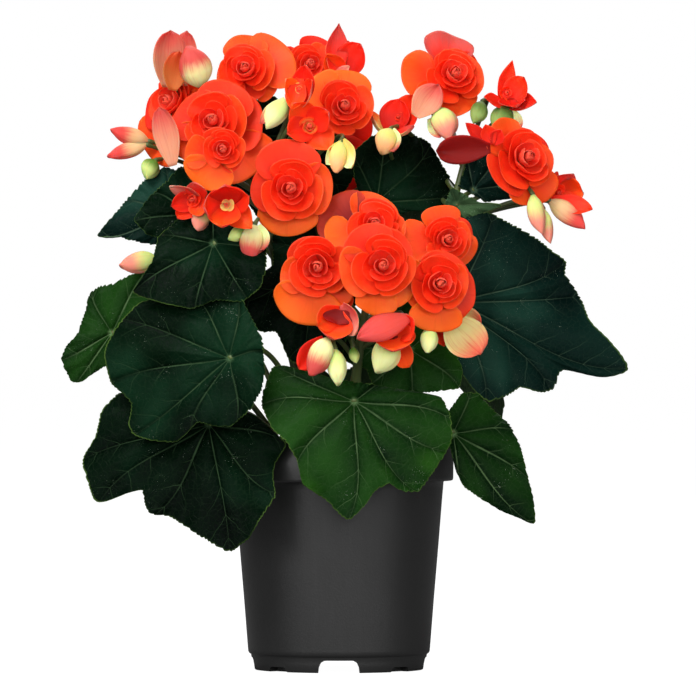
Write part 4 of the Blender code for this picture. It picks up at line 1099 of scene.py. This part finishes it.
class Petals(Parts):
    """Petals with their colours at the base and tip of each side."""

    def __init__(self):
        super().__init__("along", "across", "edge", "low", "high")

    def add_petal(self, shape, place, turned, style):
        points, s, t = shape
        verts, faces = sheet(points, PETAL_THICKNESS)
        along, across = np.tile(s.ravel(), 2), np.tile(t.ravel(), 2)
        low, high = (np.repeat(style[end::2], s.size, axis=0) for end in (0, 1))
        self.add(place + verts @ turned.T, faces, along=along, across=across, edge=along,
                 low=low, high=high)

    def add_bud(self, base, tip, width, style, flat, *petals):
        """A closed pod, with any open petals beside it."""
        self.add_pod(base, tip, width, style, flat)
        for beside in petals:
            self.add_blade(*beside)

    def add_blade(self, base, tip, width, face, point, style):
        shape = blade(base, tip, width, face, 0.08, 0.30, point, seed=base[0])
        self.add_petal(shape, np.zeros(3), np.eye(3), STYLES[style])

    def add_pod(self, base, tip, width, style, flat):
        verts, faces, along, across = pod(base, tip, width, flat)
        low, high = (np.tile(colour, (len(verts), 1)) for colour in STYLES[style][2:])
        self.add(verts, faces, along=along, across=across, low=low, high=high)


def core_petals(petals, middle, turned, radius, count, roll, style, rng, depth=1.0):
    """The heart: a few petals folded over the middle, then wider and wider open ones."""
    shells = 4 if count else 0
    if count > 5:
        out = turned @ np.array([0, 0, radius])
        petals.add_pod(middle - 0.25 * out, middle + 0.19 * out, 0.26 * radius, "heart", 0.9)
    for i in range(shells + count):
        f = (i + 1 - shells) / count
        shell = (i + 1) / shells
        if i < shells:
            reach = radius * (0.10 + 0.13 * shell)
            foot = (0.04 * radius, -0.5 * radius * depth)
            knee = (1.45 * reach, radius * (0.10 - 0.08 * shell) / depth)
            brim = (reach * (0.10 + 0.50 * shell), radius * (0.27 - 0.05 * shell) / depth)
            half, corner, lean_by = 92, 0.30, 10
        else:
            reach = radius * (0.26 + 0.74 * f ** 0.85) * rng.uniform(0.92, 1.06)
            height = radius * (0.18 + rng.uniform(-0.03, 0.03) - 0.34 * f ** 2) / depth
            foot = (radius * (0.05 + 0.06 * f), -0.55 * radius * depth)
            knee = (reach * (1.04 - 0.30 * f), height - radius * (0.42 - 0.06 * f) * depth)
            brim = (reach * (0.78 + 0.22 * f), height)
            half, corner, lean_by = 88 - 24 * f, 0.22, 9
        opened = max(0.0, f)
        at = roll + i * GOLDEN_TURN + rng.uniform(-22, 22)
        points, s, t = petal(foot, knee, brim, half, at, corner, rng.uniform(0.03, 0.16),
                             0.05 + 0.05 * opened, rng.uniform(0, 6.28))
        lean = facing(*rng.uniform(-lean_by, lean_by, 2)) @ facing(0).T
        inner = blend(HEART, style[1], min(1.0, 1.5 * opened))
        colours = (blend(style[0], inner, 0.4), inner, blend(style[1], inner, 0.5), inner)
        petals.add_petal((points @ lean.T, s, t), middle, turned, colours)


def build_bloom(name, spec, seed):
    middle, direction, width, core, shift, roll, _, guards = spec
    rng = np.random.default_rng(seed)
    petals = Petals()
    turned = facing(*direction)
    middle = np.asarray(middle, float)
    big = width / 2
    heart = middle + turned @ np.array([shift[0] * big, shift[1] * big, 0.04 * big])
    radius = core * big
    core_petals(petals, heart, turned, radius, 8, roll, STYLES["scarlet"], rng)
    for i in range(3):
        reach = radius * (1.12 + 0.05 * i)
        at = roll + 70 + 128 * i + rng.uniform(-14, 14)
        shape = petal((0.12 * radius, -0.62 * radius), (0.74 * reach, (-0.56 - 0.05 * i) * radius),
                      (reach, (-0.24 - 0.06 * i) * radius), 66, at, 0.22, 0.06, 0.07,
                      rng.uniform(0, 6.28))
        under = [blend(a, b, 0.3 * i) for a, b in zip(STYLES["scarlet"], STYLES["orange"])]
        petals.add_petal(shape, heart, turned, under)
    for i, (at, reach, half, last, style, corner) in enumerate(guards):
        level = (-0.36 - 0.03 * i) * big
        reach *= big
        rise = 0.34 * big * math.cos(math.radians(last))
        shape = petal((0.08 * big, level - 0.10 * big), (0.62 * reach, level - 0.06 * big + 0.3 * rise),
                      (reach, level + rise), half, at, corner, rng.uniform(-0.03, 0.05), 0.06,
                      rng.uniform(0, 6.28), rows=18, cols=23, squareness=3.2, hollow=0.10)
        petals.add_petal(shape, middle, turned, STYLES[style])
    for loose in LOOSE.get(name, ()):
        petals.add_blade(*loose)
    petals.build(name, "_petals", "open")


def build_cup(name, spec, seed):
    middle, direction, width, (count, share, style), _, colour, outer = spec
    rng = np.random.default_rng(seed)
    petals = Petals()
    turned = facing(*direction)
    middle = np.asarray(middle, float)
    core_petals(petals, middle - turned[:, 2] * 0.16 * width, turned, share * width / 2, count,
                seed * 40.0, STYLES[style], rng, depth=1.3)
    for *form, kind in outer:
        petals.add_petal(blade(*form, rng.uniform(0, 6.28)), middle, turned, STYLES[kind])
    petals.build(name, "_petals", colour)


def build_buds(name, spec):
    _, colour, buds = spec
    petals = Petals()
    for bud in buds:
        petals.add_bud(*bud)
    petals.build(name, "_petals", colour)


# ---------------------------------------------------------------- stems

# Each main stem's Bezier points from the soil up, as in the CAD.
STEMS = {
    "left": [(-12, -4, 118.8), (-28, -10, 180), (-40, -14, 240), (-42, -10, 292)],
    "middle": [(6, -14, 118.8), (8, -46, 160), (13, -64, 200), (20, -54, 226)],
    "right": [(14, 8, 118.8), (40, 0, 190), (60, -6, 240), (72, -6, 292)],
    "back": [(-2, 16, 118.8), (-2, 34, 190), (0, 40, 240), (0, 44, 282)],
}
# How far a flower's stalk runs behind the straight way, so that the flowers hide it. Stalks on
# the inner side of the right stem run further behind.
TUCK = {"left": 15.0, "middle": 0.0, "right": 12.0, "back": -10.0}
INNER_RIGHT = 61
INNER_TUCK = 45.0


def stalk_ends(name):
    """For each flower on this stem: its stalk's tip, direction, end inside and last radii."""
    for spec in BLOOMS.values():
        if spec[6] == name:
            outward = facing(*spec[1]) @ np.array([0, 0, 1.0])
            middle, radius = np.asarray(spec[0], float), spec[2] / 2
            tip, end = (middle - outward * (share * radius) for share in (0.43, 0.3))
            yield tip, outward, end, (1.25, 1.6, 2.0, 2.4)
    for spec in CUPS.values():
        if spec[4] == name:
            turned = facing(*spec[1])
            base, ahead = (np.mean([petal_[end] for petal_ in spec[6]], axis=0) for end in (0, 1))
            outward = unit(turned @ (unit(ahead - base) + [0, 0, 0.5]))
            base = spec[0] + turned @ (base - [0, 2.5, 4.0 if spec[3][0] else 7.0])
            yield base - outward * 1.6, outward, base + outward * 0.4, (1.2, 1.4, 1.6, 1.5)
    singles = [bud for spec in BUDS.values() if spec[0] == name for bud in spec[2]]
    for bud in singles + SIDE_BUDS[name]:
        base = np.asarray(bud[0], float)
        outward = unit(np.asarray(bud[1], float) - base)
        outward = unit(outward + [0, 0, 0.6 if outward[2] < 0 else 0.0])
        yield base - outward * 0.5, outward, base + outward * 0.6, (1.1, 1.3, 1.5, 1.2)


def stalk_line(name, axis, tip, outward):
    """A curve from a main stem, through a place behind the flower, to the stalk's tip."""
    away = np.linalg.norm(axis - tip, axis=1)
    run = away.min()
    climb = -0.03 if name == "right" else 0.03
    node = axis[np.argmin(np.abs(away - 1.15 * run) + climb * axis[:, 2])]
    bend = tip - outward * min(12.0, run * 0.5)
    inner = name == "right" and tip[0] < INNER_RIGHT
    tucked = min(INNER_TUCK if inner else TUCK[name], run)
    behind = node * 0.6 + bend * 0.4 + [0, tucked, 0.10 * run]
    beyond = node * 0.15 + bend * 0.85 + [0, tucked, 0.04 * run]
    return bezier([node, behind, beyond, bend, tip], 24)


def build_stem(name):
    steps = 41
    axis = bezier(STEMS[name], steps - 1)
    knots = np.exp(-((np.linspace(0, 4.2, steps) % 1.0 - 0.5) / 0.12) ** 2)
    verts, faces, share = tube(axis, taper(STEM_RADII, steps) * (1 + 0.12 * knots), 14)
    stalks = Parts("along")
    stalks.add(verts, faces, along=share * 0.5)
    for tip, outward, end, last_radii in stalk_ends(name):
        line = np.concatenate([stalk_line(name, axis, tip, outward), [end]])
        radii = taper(FLOWER_STALK_RADII, len(line))
        radii[-4:] = last_radii
        verts, faces, share = tube(line, radii)
        stalks.add(verts, faces, along=0.2 + 0.5 * share)
    buds = Petals()
    for bud in SIDE_BUDS[name]:
        buds.add_bud(*bud)
    buds.build("stem_" + name, "_buds", "cream")
    stalks.build("stem_" + name, "_stalks", "stem")


for index, (name, leaf) in enumerate(LEAVES.items()):
    build_leaf(name, leaf, 11 + index)
for index, (name, leaf) in enumerate(BACK_LEAVES.items()):
    leaf["outline"] = [(u * leaf["size"], v * leaf["size"]) for u, v in BACK_OUTLINE]
    leaf["veins"] = [(u * leaf["size"], v * leaf["size"]) for u, v in BACK_VEINS]
    build_leaf(name, leaf, 41 + index)
for index, (name, spec) in enumerate(BLOOMS.items()):
    build_bloom(name, spec, 71 + index)
for index, (name, spec) in enumerate(CUPS.items()):
    build_cup(name, spec, 101 + index)
for name, spec in BUDS.items():
    build_buds(name, spec)
for name in STEMS:
    build_stem(name)

# ---------------------------------------------------------------- pot and soil

# Radius and height of the pot's section, from the middle of its floor out and round.
POT_SECTION = [
    (0, 8.2), (24, 8.2), (47.6, 8.2), (48.4, 8.5), (50.2, 10.4), (52.8, 45), (55.5, 78), (58.0, 107.4),
    (58.5, 107.9), (63.2, 108.0), (63.6, 108.5), (63.8, 130.0), (64.0, 130.7), (64.4, 131.0),
    (64.75, 130.85), (64.97, 130.3), (65.0, 129.4), (64.88, 118), (64.75, 108.4), (64.6, 107.4),
    (64.2, 106.9), (63.6, 106.75), (60.2, 106.8), (59.5, 106.5), (59.2, 105.6), (59.0, 102.9),
    (58.55, 98), (56.5, 72), (53.8, 40), (51.6, 12), (51.4, 10.2), (50.9, 9.3), (50.0, 8.7),
    (49.75, 8.0), (49.4, 5.0), (48.95, 0.9), (48.6, 0.3), (48.0, 0.0), (24, 0.0), (0, 0.0),
]
CHANNEL_SECTION = [(-11.5, -2), (-11.5, 0), (-11.1, 3.4), (-10.0, 5.8), (-8.2, 6.9), (-7.0, 7.0)]
NOTCH_SECTION = [(-6.7, -2), (-6.7, 0), (-6.2, 1.9), (-5.2, 2.8)]
DRAIN_SECTION = [(0, 12), (4.5, 12), (4.5, 4), (0, 4)]


def revolve(section, segments):
    """A solid of revolution about the pot's axis."""
    angles = np.linspace(0, FULL_TURN, segments, endpoint=False)
    verts, rings = [], []
    for r, z in section:
        count = segments if r > 0 else 1
        rings.append(list(range(len(verts), len(verts) + count)))
        verts += [(r * math.cos(a), r * math.sin(a), z) for a in angles[:count]]
    faces = []
    for low, high in zip(rings, rings[1:]):
        for j in range(segments):
            k = (j + 1) % segments
            corners = (low[j % len(low)], high[j % len(high)], high[k % len(high)], low[k % len(low)])
            faces.append(tuple(dict.fromkeys(corners)))
    return np.array(verts, float), faces


def bar(section, start, end, degrees):
    """A bar along a radius, with a symmetrical section given by its left half."""
    outline = list(section) + [(-y, z) for y, z in reversed(section)]
    count = len(outline)
    a = math.radians(degrees)
    turn = np.array([[math.cos(a), math.sin(a), 0], [-math.sin(a), math.cos(a), 0], [0, 0, 1]])
    verts = np.array([(x, y, z) for x in (start, end) for y, z in outline], float) @ turn
    faces = [(j, count + j, count + (j + 1) % count, (j + 1) % count) for j in range(count)]
    faces += [tuple(range(count)), tuple(range(2 * count - 1, count - 1, -1))]
    return verts, faces


def cut(obj, verts, faces):
    """Takes a closed shape out of a piece."""
    tool = make_mesh("tool", verts, faces, {}, MATS["pot"], smooth=False)
    modifier = obj.modifiers.new("cut", "BOOLEAN")
    modifier.operation = "DIFFERENCE"
    modifier.solver = "EXACT"
    modifier.object = tool
    graph = bpy.context.evaluated_depsgraph_get()
    mesh = bpy.data.meshes.new_from_object(obj.evaluated_get(graph))
    obj.modifiers.clear()
    obj.data = mesh
    bpy.data.objects.remove(tool)


def build_pot():
    pot = make_mesh("nursery_pot_shell", *revolve(POT_SECTION, 160), {}, MATS["pot"])
    for degrees in (0, 90):
        cut(pot, *bar(CHANNEL_SECTION, -60, 60, degrees))
    for quarter in range(4):
        cut(pot, *bar(NOTCH_SECTION, 43, 60, 45 + 90 * quarter))
        a = math.radians(90 * quarter)
        verts, faces = revolve(DRAIN_SECTION, 28)
        cut(pot, verts + [DRAIN_CIRCLE * math.cos(a), DRAIN_CIRCLE * math.sin(a), 0], faces)
    pot.data.set_sharp_from_angle(angle=math.radians(32))
    place_piece(pot, "nursery_pot", "pot")


def lumps(points, size, seed):
    """Smooth random heights with features of about this size in mm."""
    rng = np.random.default_rng(seed)
    total = np.zeros(len(points))
    for _ in range(9):
        wave = rng.normal(size=3) * 2.4 / size
        total += np.sin(points @ wave + rng.uniform(0, 6.28))
    return total / 4


def soil_height(radius):
    """The heap falls off near the pot's wall."""
    return SOIL_TOP - SOIL_FALL * (radius / SOIL_RADIUS) ** 6


def crumb(rng, seed, pale):
    """A rough lump of compost, or a rounder pale one: points, faces and size."""
    size = rng.uniform(0.7, 1.5) if pale else rng.uniform(0.8, 2.6)
    wide, thin = ((0.6, 1), (0.5, 0.9)) if pale else ((0.25, 0.5), (0.2, 0.45))
    stretch = np.array((1, rng.uniform(*wide), rng.uniform(*thin)))
    place = 60.5 * math.sqrt(rng.uniform(0.01, 1)), rng.uniform(0, FULL_TURN)
    arc = [(math.sin(s), math.cos(s)) for s in np.linspace(0, math.pi, 7)[1:-1]]
    ball, faces = revolve([(0, 1), *arc, (0, -1)], 9)
    ball *= (1 + 0.22 * lumps(ball, 0.9, seed))[:, None] * stretch * size
    ball = ball @ facing(rng.uniform(0, 360), rng.uniform(-25, 25)).T
    return ball, faces, size, place


def build_soil():
    rng = np.random.default_rng(5)
    top = [(r, soil_height(r)) for r in np.linspace(0, SOIL_RADIUS, 46)]
    wall = [(63.0, 112.0), (62.8, 108.6), (57.7, 108.2), (49.85, 10.1), (47.8, 8.6), (0, 8.6)]
    verts, faces = revolve(top + wall, 150)
    up = np.clip((verts[:, 2] - 113.5) / 2.0, 0, 1) * (np.hypot(verts[:, 0], verts[:, 1]) < 62.5)
    level = verts * (1, 1, 0)
    rough = 0.7 * lumps(level, 16, 1) + 0.5 * lumps(level, 5, 2) + 0.3 * lumps(level, 2.4, 3)
    verts[:, 2] += up * rough
    parts = Parts("tint")
    parts.add(verts, faces)
    for i in range(CRUMBS):
        pale = i % 6 == 0
        ball, faces, size, (r, a) = crumb(rng, 100 + i, pale)
        centre = [r * math.cos(a), r * math.sin(a), soil_height(r) + 0.2 + 0.3 * size]
        parts.add(ball + centre, faces, tint=1.0 if pale else rng.uniform(0.0, 0.12))
    parts.build("potting_soil", "_heap", "soil")


build_pot()
build_soil()


# ---------------------------------------------------------------- stage

# Lamps as place, size and power; places in metres in the shared frame.
LAMPS = {
    "key": ((-0.8, -1.3, 2.1), (1.2, 1.2), 62),
    "front": ((0.0, -3.9, 0.95), (16.0, 1.7), 420),
    "rear": ((0.3, 1.9, 2.3), (2.2, 1.2), 60),
}
LAMP_TARGET = (0, 0, 0.2)
CAMERA_PLACE = (0.0003, -3.5, 0.1817)
WORLD_LIGHT = 0.06


def build_stage():
    """A floor, a world that is white to the camera and dim to the object, lamps and a camera."""
    bm = bmesh.new()
    bmesh.ops.create_grid(bm, x_segments=8, y_segments=8, size=40.0)
    mesh = bpy.data.meshes.new("studio_floor")
    bm.to_mesh(mesh)
    bm.free()
    floor = bpy.data.objects.new("studio_floor", mesh)
    floor.location.z = -0.0002
    floor.data.materials.append(floor_material())
    bpy.context.scene.collection.objects.link(floor)

    world = bpy.data.worlds.new("studio")
    bpy.context.scene.world = world
    world.use_nodes = True
    tree = world.node_tree
    back = tree.nodes["Background"]
    back.inputs["Color"].default_value = (1, 1, 1, 1)
    seen = tree.nodes.new("ShaderNodeLightPath").outputs["Is Camera Ray"]
    level = tree.nodes.new("ShaderNodeMapRange")
    level.inputs["To Min"].default_value = WORLD_LIGHT
    level.inputs["To Max"].default_value = 1.0
    tree.links.new(seen, level.inputs["Value"])
    tree.links.new(level.outputs[0], back.inputs["Strength"])

    for name, (place, size, power) in LAMPS.items():
        light = bpy.data.lights.new(name, "AREA")
        light.shape = "RECTANGLE"
        light.size, light.size_y = size
        light.energy = power
        lamp = bpy.data.objects.new(name, light)
        bpy.context.scene.collection.objects.link(lamp)
        lamp.location = place
        aim = Vector(LAMP_TARGET) - Vector(place)
        lamp.rotation_euler = aim.to_track_quat("-Z", "Y").to_euler()

    camera = bpy.data.cameras.new("camera")
    camera.sensor_width = 36.0
    camera.lens = 320.0
    camera.clip_start = 0.1
    camera.clip_end = 200.0
    viewer = bpy.data.objects.new("camera", camera)
    bpy.context.scene.collection.objects.link(viewer)
    viewer.location = CAMERA_PLACE
    viewer.rotation_euler = (math.pi / 2, 0, 0)
    bpy.context.scene.camera = viewer
    bpy.context.scene.view_settings.view_transform = "Standard"


build_stage()
